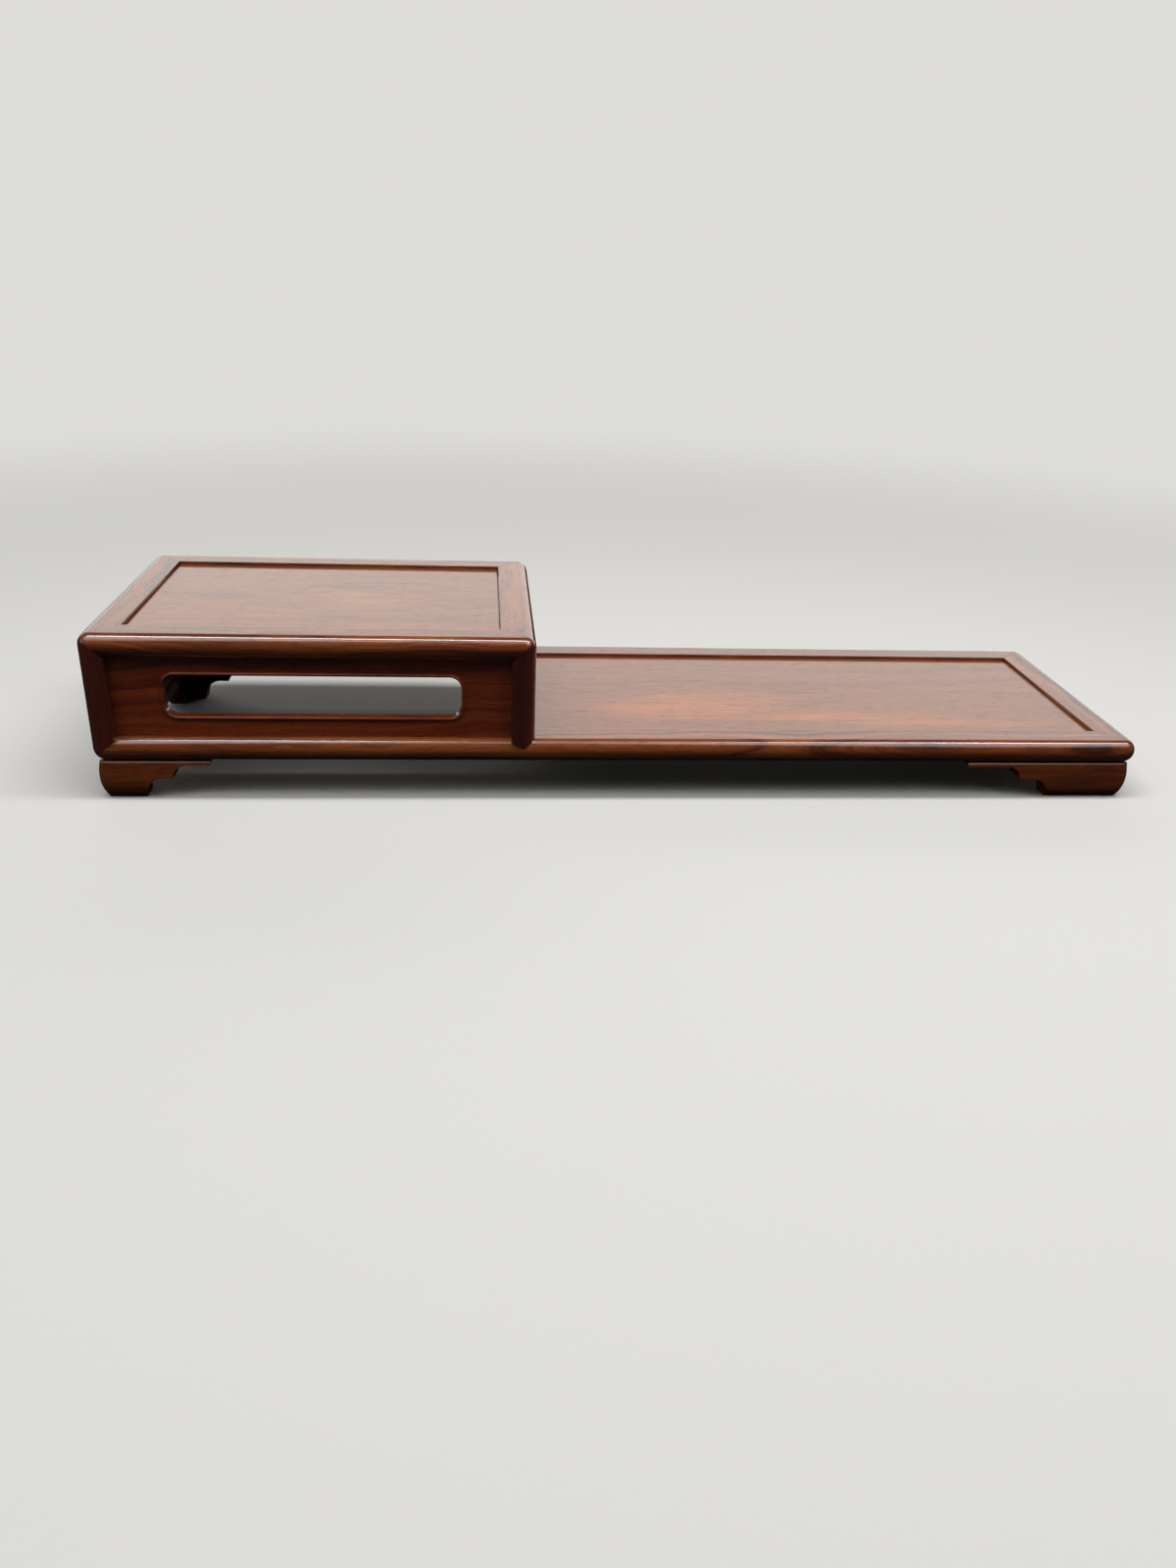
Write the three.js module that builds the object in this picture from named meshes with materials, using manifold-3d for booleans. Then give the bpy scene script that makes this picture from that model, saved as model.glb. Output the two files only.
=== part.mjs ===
// A two-tier hardwood display stand: a long low tier, with a raised box tier over its left end.
// Every member is a separate piece of wood, held by mitres, tenons, tongues, dovetails and dowels.
// Millimetres, +Z up. The origin is on the floor, under the middle of the stand.
import * as THREE from "three";
import { mergeVertices, toCreasedNormals } from "three/addons/utils/BufferGeometryUtils.js";
import Module from "manifold-3d";

const wasm = await Module();
wasm.setup();

// Overall sizes
const LENGTH = 450;
const DEPTH = 130;
const UPPER_LENGTH = 182;
const FOOT_HEIGHT = 17.2;
const BOARD_HEIGHT = 34.5;

// Frame members: rails are as thick as posts are wide, so that they meet on 45 degree mitres
const STOCK = 10;
const FRAME_WIDTH = 14.5;
const NOSE_DEPTH = 4.5;
const CORNER_RADIUS = 5;
const ARRIS_RADIUS = 1.2;
const CREASE_ANGLE = 35;

// Floating panels and the battens under them
const PANEL_RECESS = 1.5;
const PANEL_THICKNESS = 4;
const PANEL_TONGUE = 2;
const PANEL_TONGUE_RISE = 1;
const PANEL_TONGUE_LENGTH = 4;
const PANEL_PLAY = 0.3;
const BATTEN_WIDTH = 12;
const BATTEN_THICKNESS = 3.2;
const DOVETAIL_HEIGHT = 1.4;
const DOVETAIL_FLARE = 0.6;
const BATTEN_TENON_THICKNESS = 2.2;
const BATTEN_TENON_LENGTH = 4;
const BATTEN_TENON_SHOULDER = 0.4;
const LOWER_BATTENS = 2;

// Wall boards of the raised tier, and the oblong opening in the two long ones
const BOARD_SETBACK = 4.8;
const BOARD_THICKNESS = 3.5;
const BOARD_TONGUE = 2;
const BOARD_TONGUE_SETBACK = 0.5;
const BOARD_TONGUE_LENGTH = 1.8;
const OPENING_END_MARGIN = 20.8;
const OPENING_SILL = 8.9;
const OPENING_HEIGHT = 17.8;
const OPENING_RADIUS = 5;
const BEAD_WIDTH = 1.3;
const BEAD_HEIGHT = 0.9;

// Tenons and the spear-pointed foot of the right-hand posts
const TENON_THICKNESS = 2.6;
const TENON_WIDTH = 4;
const TENON_COVER = 3.5;
const TENON_SHOULDER = 0.5;
const FRAME_TENON_DROP = 6.1;
const FRAME_TENON_REACH = 6;
const SPEAR_HEIGHT = 3.4;
const SPEAR_DEPTH = 4.8;
const SPEAR_TENON_DEPTH = 4.5;
const CROSS_TENON_WIDTH = 6;
const CROSS_TENON_THICKNESS = 4.5;
const CROSS_TENON_DROP = 4;
const CROSS_TENON_COVER = 0.7;

// Bracket feet: each is a long arm and a side arm, mitred at the corner
const LEFT_TOE = 19.5;
const LEFT_REACH = 47;
const RIGHT_TOE = 37.5;
const RIGHT_REACH = 76.5;
const SIDE_TOE = 19.5;
const SIDE_REACH = 44;
const FOOT_DEPTH = 11.5;
const FOOT_BULGE_INSET = 0.8;
const FOOT_BULGE_HEIGHT = 9.5;
const FOOT_SOLE_INSET = 4;
const FOOT_SHOULDER_INSET = 1.5;
const FOOT_SHOULDER_RADIUS = 1.8;
const COVE_RADIUS = 7.5;
const STEP_HEIGHT = 9.4;
const TONGUE_THICKNESS = 2;
const STEP_SHARE = 0.22;
const BELLY_LEVEL = 0.4;
const DOWEL_RADIUS = 1.5;
const DOWEL_IN_FOOT = 5;
const DOWEL_IN_RAIL = 4;
const DOWEL_SETBACK = 6.5;
const FIRST_DOWEL = 17;

// Clearances
const MITRE_GAP = 0.1;
const FIT_GAP = 0.1;
const END_GAP = 0.3;
const OVERRUN = 2;

// Levels and places that follow from the sizes
const lowerBottom = FOOT_HEIGHT;
const lowerTop = lowerBottom + STOCK;
const upperBottom = lowerTop + BOARD_HEIGHT;
const upperTop = upperBottom + STOCK;
const wallOuter = BOARD_SETBACK;
const wallInner = BOARD_SETBACK + BOARD_THICKNESS;
const tongueOuter = BOARD_SETBACK + BOARD_TONGUE_SETBACK;
const tongueInner = tongueOuter + BOARD_TONGUE;
const crossLeft = UPPER_LENGTH - STOCK;

// Finishes: one wood, darker on the posts and boards than on the rails and panels
const frameWood = new THREE.MeshStandardMaterial({ color: 0x6b3a25, roughness: 0.32, metalness: 0 });
const panelWood = new THREE.MeshStandardMaterial({ color: 0x7c452c, roughness: 0.3, metalness: 0 });
const boardWood = new THREE.MeshStandardMaterial({ color: 0x53261a, roughness: 0.36, metalness: 0 });
const postWood = new THREE.MeshStandardMaterial({ color: 0x3d1d18, roughness: 0.36, metalness: 0 });
const footWood = new THREE.MeshStandardMaterial({ color: 0x5c3020, roughness: 0.36, metalness: 0 });
const dowelWood = new THREE.MeshStandardMaterial({ color: 0xb58a5a, roughness: 0.7, metalness: 0 });

const stand = new THREE.Group();
const fromFrontLeftCorner = new THREE.Group();
fromFrontLeftCorner.position.set(-LENGTH / 2, -DEPTH / 2, 0);
stand.add(fromFrontLeftCorner);

// Solids from three.js geometry

function solidFrom(geometry) {
  const bare = geometry.index ? geometry.toNonIndexed() : geometry.clone();
  bare.deleteAttribute("normal");
  bare.deleteAttribute("uv");
  const merged = mergeVertices(bare, 1e-4);
  return new wasm.Manifold(
    new wasm.Mesh({
      numProp: 3,
      vertProperties: new Float32Array(merged.attributes.position.array),
      triVerts: new Uint32Array(merged.index.array),
    }),
  );
}

function addPiece(name, solid, material) {
  const made = solid.getMesh();
  const geometry = new THREE.BufferGeometry();
  geometry.setAttribute("position", new THREE.BufferAttribute(made.vertProperties, 3));
  geometry.setIndex(new THREE.BufferAttribute(made.triVerts, 1));
  const creased = toCreasedNormals(geometry, THREE.MathUtils.degToRad(CREASE_ANGLE));
  const mesh = new THREE.Mesh(creased, material);
  mesh.name = name;
  fromFrontLeftCorner.add(mesh);
}

function block([x0, x1], [y0, y1], [z0, z1]) {
  const box = new THREE.BoxGeometry(Math.abs(x1 - x0), Math.abs(y1 - y0), Math.abs(z1 - z0));
  box.translate((x0 + x1) / 2, (y0 + y1) / 2, (z0 + z1) / 2);
  return solidFrom(box);
}

function extruded(outline, length) {
  const shape = new THREE.Shape(outline.map(([a, b]) => new THREE.Vector2(a, b)));
  return new THREE.ExtrudeGeometry(shape, { depth: length, bevelEnabled: false });
}

// An outline of [x, y] points, raised from one level to another
function prismUp(outline, [z0, z1]) {
  return solidFrom(extruded(outline, Math.abs(z1 - z0)).translate(0, 0, Math.min(z0, z1)));
}

// An outline of [y, z] points, run along X
function prismAlongX(outline, [x0, x1]) {
  const geometry = extruded(outline, Math.abs(x1 - x0));
  geometry.applyMatrix4(
    new THREE.Matrix4().makeBasis(
      new THREE.Vector3(0, 1, 0),
      new THREE.Vector3(0, 0, 1),
      new THREE.Vector3(1, 0, 0),
    ),
  );
  return solidFrom(geometry.translate(Math.min(x0, x1), 0, 0));
}

// An outline of [x, z] points, run along Y
function prismAlongY(outline, [y0, y1]) {
  const geometry = extruded(outline, Math.abs(y1 - y0)).rotateX(Math.PI / 2);
  return solidFrom(geometry.translate(0, Math.max(y0, y1), 0));
}

function arc([centreA, centreB], [radiusA, radiusB], fromDegrees, toDegrees, steps) {
  return Array.from({ length: steps + 1 }, (_, i) => {
    const angle = THREE.MathUtils.degToRad(fromDegrees + ((toDegrees - fromDegrees) * i) / steps);
    return [centreA + radiusA * Math.cos(angle), centreB + radiusB * Math.sin(angle)];
  });
}

// A rectangle with rounded corners, as [a, b] points
function roundedOutline([a0, a1], [b0, b1], radius, steps) {
  const r = [radius, radius];
  return [
    ...arc([a0 + radius, b0 + radius], r, 180, 270, steps),
    ...arc([a1 - radius, b0 + radius], r, 270, 360, steps),
    ...arc([a1 - radius, b1 - radius], r, 0, 90, steps),
    ...arc([a0 + radius, b1 - radius], r, 90, 180, steps),
  ];
}

// A solid with rounded corners in plan, whose sides follow a list of { z, inset } levels
function roundedBody([x0, x1], [y0, y1], levels, radiusAt) {
  const cornerSteps = 6;
  const rings = levels.map(({ z, inset }) =>
    roundedOutline(
      [x0 + inset, x1 - inset],
      [y0 + inset, y1 - inset],
      radiusAt(inset),
      cornerSteps,
    ).map(([x, y]) => [x, y, z]),
  );
  const count = rings[0].length;
  const first = [(x0 + x1) / 2, (y0 + y1) / 2, levels[0].z];
  const last = [(x0 + x1) / 2, (y0 + y1) / 2, levels[levels.length - 1].z];
  const corners = [];
  for (let i = 0; i < count; i += 1) {
    const next = (i + 1) % count;
    corners.push(first, rings[0][next], rings[0][i]);
    corners.push(last, rings[rings.length - 1][i], rings[rings.length - 1][next]);
    for (let level = 0; level + 1 < rings.length; level += 1) {
      const low = rings[level];
      const high = rings[level + 1];
      corners.push(low[i], low[next], high[next]);
      corners.push(low[i], high[next], high[i]);
    }
  }
  const geometry = new THREE.BufferGeometry();
  geometry.setAttribute("position", new THREE.Float32BufferAttribute(corners.flat(), 3));
  return solidFrom(geometry);
}

// Outer surfaces that several members share

const noseSteps = 6;
const noseHalf = STOCK / 2;

// Levels of the lower or upper quarter of the bullnose, whose widest point is at one height
function noseQuarter(widest, direction) {
  return arc([0, 0], [NOSE_DEPTH, noseHalf], 0, 90, noseSteps).map(([out, rise]) => ({
    z: widest + direction * rise,
    inset: NOSE_DEPTH - out,
  }));
}

function nosedBody(spanX, spanY, bottom, top) {
  const low = noseQuarter(bottom + noseHalf, -1).reverse();
  const high = noseQuarter(top - noseHalf, 1);
  const levels = top - bottom > STOCK ? [...low, ...high] : [...low, ...high.slice(1)];
  return roundedBody(spanX, spanY, levels, (inset) => CORNER_RADIUS - inset);
}

const lowerSlab = nosedBody([0, LENGTH], [0, DEPTH], lowerBottom, lowerTop);
const upperSlab = nosedBody([0, UPPER_LENGTH], [0, DEPTH], upperBottom, upperTop);
const boxBody = nosedBody([0, UPPER_LENGTH], [0, DEPTH], lowerBottom, upperTop);

// Corners: u, v and w run inwards along X, Y and Z from the outermost corner point

function corner(x, alongX, y, alongY, z, alongZ) {
  return {
    x: (u) => x + alongX * u,
    y: (v) => y + alongY * v,
    z: (w) => z + alongZ * w,
  };
}

function cornerBlock(at, [u0, u1], [v0, v1], [w0, w1]) {
  return block([at.x(u0), at.x(u1)], [at.y(v0), at.y(v1)], [at.z(w0), at.z(w1)]);
}

// The half of a corner beyond its plan mitre, to be cut from the long or the side member there
function beyondPlanMitre(at, isLong, width, levels) {
  const far = width + OVERRUN;
  const shift = (isLong ? -1 : 1) * (MITRE_GAP / 2);
  const outline = [
    [-OVERRUN, -OVERRUN + shift],
    [far, far + shift],
    isLong ? [-OVERRUN, far + shift] : [far, -OVERRUN + shift],
  ];
  return prismUp(outline.map(([u, v]) => [at.x(u), at.y(v)]), levels);
}

function railMitre(at, isLong) {
  return beyondPlanMitre(at, isLong, FRAME_WIDTH, [at.z(-OVERRUN), at.z(STOCK + OVERRUN)]);
}

// What a post takes from a rail on the face between them: all that is deeper than the mitre plane
function postShareOfRail(at, isLong) {
  const edge = STOCK + FIT_GAP;
  const shift = -MITRE_GAP / 2;
  const outline = [
    [-OVERRUN, -OVERRUN + shift],
    [edge, edge + shift],
    [edge, STOCK + OVERRUN],
    [-OVERRUN, STOCK + OVERRUN],
  ];
  const span = [-OVERRUN, edge];
  return isLong
    ? prismAlongY(outline.map(([u, w]) => [at.x(u), at.z(w)]), span.map(at.y))
    : prismAlongX(outline.map(([v, w]) => [at.y(v), at.z(w)]), span.map(at.x));
}

// What the two rails take from the end of a post: all that is shallower than the mitre planes
function railShareOfPost(at) {
  const far = STOCK + OVERRUN;
  const shift = MITRE_GAP / 2;
  const outline = [[-OVERRUN, -OVERRUN + shift], [far, far + shift], [far, -OVERRUN + shift]];
  const span = [-OVERRUN, far];
  const fromLong = prismAlongY(outline.map(([u, w]) => [at.x(u), at.z(w)]), span.map(at.y));
  const fromSide = prismAlongX(outline.map(([v, w]) => [at.y(v), at.z(w)]), span.map(at.x));
  return fromLong.add(fromSide);
}

// The two tenons at a mitred end of a post: one goes into each rail
const tenonNear = STOCK - TENON_SHOULDER - TENON_WIDTH;
const tenonSide = NOSE_DEPTH + TENON_SHOULDER - TENON_THICKNESS;

// Mortises leave more room at a tenon's end than along its sides
function endRoom(sideGap) {
  return (sideGap * END_GAP) / FIT_GAP;
}

function postTenons(at, gap) {
  const along = [tenonNear - gap, tenonNear + TENON_WIDTH + gap];
  const across = [tenonSide - gap, tenonSide + TENON_THICKNESS + gap];
  const deep = [TENON_COVER - gap, STOCK];
  return cornerBlock(at, along, across, deep).add(cornerBlock(at, across, along, deep));
}

// The tenon that locks the plan mitre, part of the long rail
function frameTenon(at, fromTop, gap) {
  const middle = (STOCK + FRAME_WIDTH) / 2;
  const half = TENON_THICKNESS / 2 + gap;
  const top = fromTop - FRAME_TENON_DROP + gap;
  const bottom = fromTop - FRAME_TENON_DROP - TENON_THICKNESS - gap;
  const reach = middle - FRAME_TENON_REACH - endRoom(gap);
  return block(
    [at.x(reach), at.x(FRAME_WIDTH)],
    [at.y(middle - half), at.y(middle + half)],
    [bottom, top],
  );
}

const upperFront = [
  corner(0, 1, 0, 1, upperTop, -1),
  corner(UPPER_LENGTH, -1, 0, 1, upperTop, -1),
];
const upperBack = [
  corner(0, 1, DEPTH, -1, upperTop, -1),
  corner(UPPER_LENGTH, -1, DEPTH, -1, upperTop, -1),
];
const lowerFront = [
  corner(0, 1, 0, 1, lowerBottom, 1),
  corner(LENGTH, -1, 0, 1, lowerBottom, 1),
];
const lowerBack = [
  corner(0, 1, DEPTH, -1, lowerBottom, 1),
  corner(LENGTH, -1, DEPTH, -1, lowerBottom, 1),
];

// Rails of both frames

// A rail's section up to its rounded inner arris, as [distance from the outer face, height]
function railOutline(bottom, top) {
  const centre = [FRAME_WIDTH - ARRIS_RADIUS, top - ARRIS_RADIUS];
  return [
    [-OVERRUN, bottom - OVERRUN],
    [FRAME_WIDTH, bottom - OVERRUN],
    ...arc(centre, [ARRIS_RADIUS, ARRIS_RADIUS], 0, 90, 3),
    [FRAME_WIDTH - ARRIS_RADIUS, top + OVERRUN],
    [-OVERRUN, top + OVERRUN],
  ];
}

// The groove that a panel's tongue sits in, as heights under the frame's top face
const grooveTop = PANEL_RECESS + PANEL_THICKNESS - PANEL_TONGUE_RISE - PANEL_TONGUE - FIT_GAP;
const grooveBottom = PANEL_RECESS + PANEL_THICKNESS - PANEL_TONGUE_RISE + FIT_GAP;
const grooveDepth = PANEL_TONGUE_LENGTH + END_GAP * 2;

// The mortise for a batten's tenon, in the inner face of a long rail
const battenTenonTop = PANEL_RECESS + PANEL_THICKNESS + BATTEN_TENON_SHOULDER;

function battenMortise(middle, at, top) {
  const half = BATTEN_WIDTH / 4 + FIT_GAP;
  const inner = FRAME_WIDTH - BATTEN_TENON_LENGTH - END_GAP;
  return block(
    [middle - half, middle + half],
    [at.y(inner), at.y(FRAME_WIDTH + OVERRUN)],
    [top - battenTenonTop - BATTEN_TENON_THICKNESS - FIT_GAP, top - battenTenonTop + FIT_GAP],
  );
}

function dowelAt(x, y, gap) {
  const height = DOWEL_IN_FOOT + DOWEL_IN_RAIL + 2 * gap;
  const pin = new THREE.CylinderGeometry(DOWEL_RADIUS + gap, DOWEL_RADIUS + gap, height, 12);
  pin.rotateX(Math.PI / 2);
  return solidFrom(pin.translate(x, y, FOOT_HEIGHT + (DOWEL_IN_RAIL - DOWEL_IN_FOOT) / 2));
}

const feet = [
  { side: "left", corners: [lowerFront[0], lowerBack[0]], toe: LEFT_TOE, reach: LEFT_REACH },
  { side: "right", corners: [lowerFront[1], lowerBack[1]], toe: RIGHT_TOE, reach: RIGHT_REACH },
];

// Distances of an arm's two dowels from its corner
function dowelPlaces(toe) {
  return [FIRST_DOWEL, toe + COVE_RADIUS + DOWEL_RADIUS];
}

// Every dowel hole, to be cut from rails and feet alike
function dowelHoles() {
  return feet.flatMap(({ corners, toe }) =>
    corners.flatMap((at) => [
      ...dowelPlaces(toe).map((u) => dowelAt(at.x(u), at.y(DOWEL_SETBACK), FIT_GAP)),
      ...dowelPlaces(SIDE_TOE).map((v) => dowelAt(at.x(DOWEL_SETBACK), at.y(v), FIT_GAP)),
    ]),
  );
}

const allDowelHoles = dowelHoles().reduce((sum, hole) => sum.add(hole));

const upperBattenPlaces = [UPPER_LENGTH / 2];
const lowerBattenPlaces = Array.from({ length: LOWER_BATTENS }, (_, i) => {
  const span = LENGTH - FRAME_WIDTH - UPPER_LENGTH;
  return UPPER_LENGTH + (span * (i + 0.5)) / LOWER_BATTENS;
});

function upperLongRail(name, ends) {
  const at = ends[0];
  const outline = railOutline(upperBottom, upperTop).map(([v, z]) => [at.y(v), z]);
  let rail = prismAlongX(outline, [-OVERRUN, UPPER_LENGTH + OVERRUN]).intersect(upperSlab);
  for (const end of ends) {
    rail = rail.subtract(railMitre(end, true)).subtract(postShareOfRail(end, true));
    rail = rail.add(frameTenon(end, upperTop, 0)).subtract(postTenons(end, FIT_GAP));
  }
  const panelGroove = block(
    [FRAME_WIDTH, UPPER_LENGTH - FRAME_WIDTH],
    [at.y(FRAME_WIDTH - grooveDepth), at.y(FRAME_WIDTH + OVERRUN)],
    [upperTop - grooveBottom, upperTop - grooveTop],
  );
  const boardGroove = block(
    [STOCK + FIT_GAP, UPPER_LENGTH - STOCK - FIT_GAP],
    [at.y(tongueOuter - FIT_GAP), at.y(tongueInner + FIT_GAP)],
    [upperBottom - OVERRUN, upperBottom + BOARD_TONGUE_LENGTH + FIT_GAP],
  );
  rail = rail.subtract(panelGroove).subtract(boardGroove);
  for (const middle of upperBattenPlaces) rail = rail.subtract(battenMortise(middle, at, upperTop));
  addPiece(name, rail, frameWood);
}

function upperSideRail(name, ends) {
  const at = ends[0];
  const outline = railOutline(upperBottom, upperTop).map(([u, z]) => [at.x(u), z]);
  let rail = prismAlongY(outline, [-OVERRUN, DEPTH + OVERRUN]).intersect(upperSlab);
  for (const end of ends) {
    rail = rail.subtract(railMitre(end, false)).subtract(postShareOfRail(end, false));
    rail = rail.subtract(frameTenon(end, upperTop, FIT_GAP)).subtract(postTenons(end, FIT_GAP));
  }
  const panelGroove = block(
    [at.x(FRAME_WIDTH - grooveDepth), at.x(FRAME_WIDTH + OVERRUN)],
    [FRAME_WIDTH, DEPTH - FRAME_WIDTH],
    [upperTop - grooveBottom, upperTop - grooveTop],
  );
  const boardGroove = block(
    [at.x(tongueOuter - FIT_GAP), at.x(tongueInner + FIT_GAP)],
    [FRAME_WIDTH, DEPTH - FRAME_WIDTH],
    [upperBottom - OVERRUN, upperBottom + BOARD_TONGUE_LENGTH + FIT_GAP],
  );
  addPiece(name, rail.subtract(panelGroove).subtract(boardGroove), frameWood);
}

upperLongRail("upper_front_rail", upperFront);
upperLongRail("upper_back_rail", upperBack);
upperSideRail("upper_left_rail", [upperFront[0], upperBack[0]]);
upperSideRail("upper_right_rail", [upperFront[1], upperBack[1]]);

// The triangular spear under a right-hand post, and the matching notch in the lower long rail
const rightPostMiddle = UPPER_LENGTH - STOCK / 2;

function spearPrism(at, gap) {
  const middle = rightPostMiddle;
  const half = STOCK / 2 + gap;
  const outline = [
    [middle - half, lowerTop],
    [middle, lowerTop - SPEAR_HEIGHT - gap],
    [middle + half, lowerTop],
    [middle + half, lowerTop + OVERRUN],
    [middle - half, lowerTop + OVERRUN],
  ];
  return prismAlongY(outline, [at.y(-OVERRUN), at.y(SPEAR_DEPTH + gap)]);
}

function spearTenon(at, gap) {
  const middle = rightPostMiddle;
  return block(
    [middle - TENON_WIDTH / 2 - gap, middle + TENON_WIDTH / 2 + gap],
    [at.y(STOCK - END_GAP - TENON_THICKNESS - gap), at.y(STOCK - END_GAP + gap)],
    [lowerTop - SPEAR_TENON_DEPTH - gap, lowerTop + STOCK / 2],
  );
}

// The cross rail's tenon stops short of the post's own tenon, which comes down in front of it
function crossTenon(at, gap) {
  const middle = rightPostMiddle;
  const tip = STOCK + CROSS_TENON_COVER;
  return block(
    [middle - CROSS_TENON_WIDTH / 2 - gap, middle + CROSS_TENON_WIDTH / 2 + gap],
    [at.y(tip - endRoom(gap)), at.y(FRAME_WIDTH + STOCK / 2)],
    [lowerTop - CROSS_TENON_DROP - CROSS_TENON_THICKNESS - gap, lowerTop - CROSS_TENON_DROP + gap],
  );
}

function lowerLongRail(name, ends) {
  const at = ends[0];
  const outline = railOutline(lowerBottom, lowerTop).map(([v, z]) => [at.y(v), z]);
  let rail = prismAlongX(outline, [-OVERRUN, LENGTH + OVERRUN]).intersect(lowerSlab);
  for (const end of ends) {
    rail = rail.subtract(railMitre(end, true)).add(frameTenon(end, lowerTop, 0));
  }
  rail = rail.subtract(postShareOfRail(at, true)).subtract(postTenons(at, FIT_GAP));
  rail = rail.subtract(spearPrism(at, MITRE_GAP)).subtract(spearTenon(at, FIT_GAP));
  rail = rail.subtract(crossTenon(at, FIT_GAP));
  const panelGroove = block(
    [UPPER_LENGTH, LENGTH - FRAME_WIDTH],
    [at.y(FRAME_WIDTH - grooveDepth), at.y(FRAME_WIDTH + OVERRUN)],
    [lowerTop - grooveBottom, lowerTop - grooveTop],
  );
  const boardGroove = block(
    [STOCK + FIT_GAP, UPPER_LENGTH - STOCK - FIT_GAP],
    [at.y(tongueOuter - FIT_GAP), at.y(tongueInner + FIT_GAP)],
    [lowerTop - BOARD_TONGUE_LENGTH - FIT_GAP, lowerTop + OVERRUN],
  );
  rail = rail.subtract(panelGroove).subtract(boardGroove).subtract(allDowelHoles);
  for (const middle of lowerBattenPlaces) rail = rail.subtract(battenMortise(middle, at, lowerTop));
  addPiece(name, rail, frameWood);
}

function lowerSideRail(name, ends, carriesPosts) {
  const at = ends[0];
  const outline = railOutline(lowerBottom, lowerTop).map(([u, z]) => [at.x(u), z]);
  let rail = prismAlongY(outline, [-OVERRUN, DEPTH + OVERRUN]).intersect(lowerSlab);
  for (const end of ends) {
    rail = rail.subtract(railMitre(end, false)).subtract(frameTenon(end, lowerTop, FIT_GAP));
    if (carriesPosts) {
      rail = rail.subtract(postShareOfRail(end, false)).subtract(postTenons(end, FIT_GAP));
    }
  }
  const boardGroove = block(
    [at.x(tongueOuter - FIT_GAP), at.x(tongueInner + FIT_GAP)],
    [FRAME_WIDTH, DEPTH - FRAME_WIDTH],
    [lowerTop - BOARD_TONGUE_LENGTH - FIT_GAP, lowerTop + OVERRUN],
  );
  const panelGroove = block(
    [at.x(FRAME_WIDTH - grooveDepth), at.x(FRAME_WIDTH + OVERRUN)],
    [FRAME_WIDTH, DEPTH - FRAME_WIDTH],
    [lowerTop - grooveBottom, lowerTop - grooveTop],
  );
  rail = rail.subtract(carriesPosts ? boardGroove : panelGroove).subtract(allDowelHoles);
  addPiece(name, rail, frameWood);
}

lowerLongRail("lower_front_rail", lowerFront);
lowerLongRail("lower_back_rail", lowerBack);
lowerSideRail("lower_left_rail", [lowerFront[0], lowerBack[0]], true);
lowerSideRail("lower_right_rail", [lowerFront[1], lowerBack[1]], false);

// The cross rail carries the right wall of the raised tier and the left edge of the lower panel
function crossRail() {
  const outline = [
    [crossLeft, lowerBottom],
    [UPPER_LENGTH, lowerBottom],
    ...arc(
      [UPPER_LENGTH - ARRIS_RADIUS, lowerTop - ARRIS_RADIUS],
      [ARRIS_RADIUS, ARRIS_RADIUS],
      0,
      90,
      3,
    ),
    [crossLeft, lowerTop],
  ];
  let rail = prismAlongY(outline, [FRAME_WIDTH, DEPTH - FRAME_WIDTH]);
  rail = rail.add(crossTenon(lowerFront[0], 0)).add(crossTenon(lowerBack[0], 0));
  const panelGroove = block(
    [UPPER_LENGTH - grooveDepth, UPPER_LENGTH + OVERRUN],
    [FRAME_WIDTH - OVERRUN, DEPTH - FRAME_WIDTH + OVERRUN],
    [lowerTop - grooveBottom, lowerTop - grooveTop],
  );
  const boardGroove = block(
    [UPPER_LENGTH - tongueInner - FIT_GAP, UPPER_LENGTH - tongueOuter + FIT_GAP],
    [FRAME_WIDTH - OVERRUN, DEPTH - FRAME_WIDTH + OVERRUN],
    [lowerTop - BOARD_TONGUE_LENGTH - FIT_GAP, lowerTop + OVERRUN],
  );
  addPiece("cross_rail", rail.subtract(panelGroove).subtract(boardGroove), frameWood);
}

crossRail();

// Floating panels, held by a tongue on all four edges and a dovetailed batten beneath

// A batten's section: a flat bar with a dovetail on top, widened by a gap where it is a slot
function dovetailOutline(middle, base, gap) {
  const root = BATTEN_WIDTH / 2 - DOVETAIL_FLARE + gap;
  const crown = BATTEN_WIDTH / 2 + gap;
  return [
    [middle - root, base - gap],
    [middle + root, base - gap],
    [middle + crown, base + DOVETAIL_HEIGHT + gap],
    [middle - crown, base + DOVETAIL_HEIGHT + gap],
  ];
}

function panel(name, [x0, x1], tierTop, battenPlaces) {
  const top = tierTop - PANEL_RECESS;
  const bottom = top - PANEL_THICKNESS;
  const tongueBottom = bottom + PANEL_TONGUE_RISE;
  const y0 = FRAME_WIDTH;
  const y1 = DEPTH - FRAME_WIDTH;
  const out = PANEL_TONGUE_LENGTH;
  const tongue = [tongueBottom, tongueBottom + PANEL_TONGUE];
  const acrossX = [x0 + PANEL_PLAY, x1 - PANEL_PLAY];
  const acrossY = [y0 + PANEL_PLAY, y1 - PANEL_PLAY];
  let board = block(acrossX, acrossY, [bottom, top]);
  board = board.add(block([x0 - out, x1 + out], acrossY, tongue));
  board = board.add(block(acrossX, [y0 - out, y1 + out], tongue));
  for (const middle of battenPlaces) {
    const slot = prismAlongY(dovetailOutline(middle, bottom, FIT_GAP), [0, DEPTH]);
    board = board.subtract(slot);
  }
  addPiece(name, board, panelWood);
}

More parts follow.
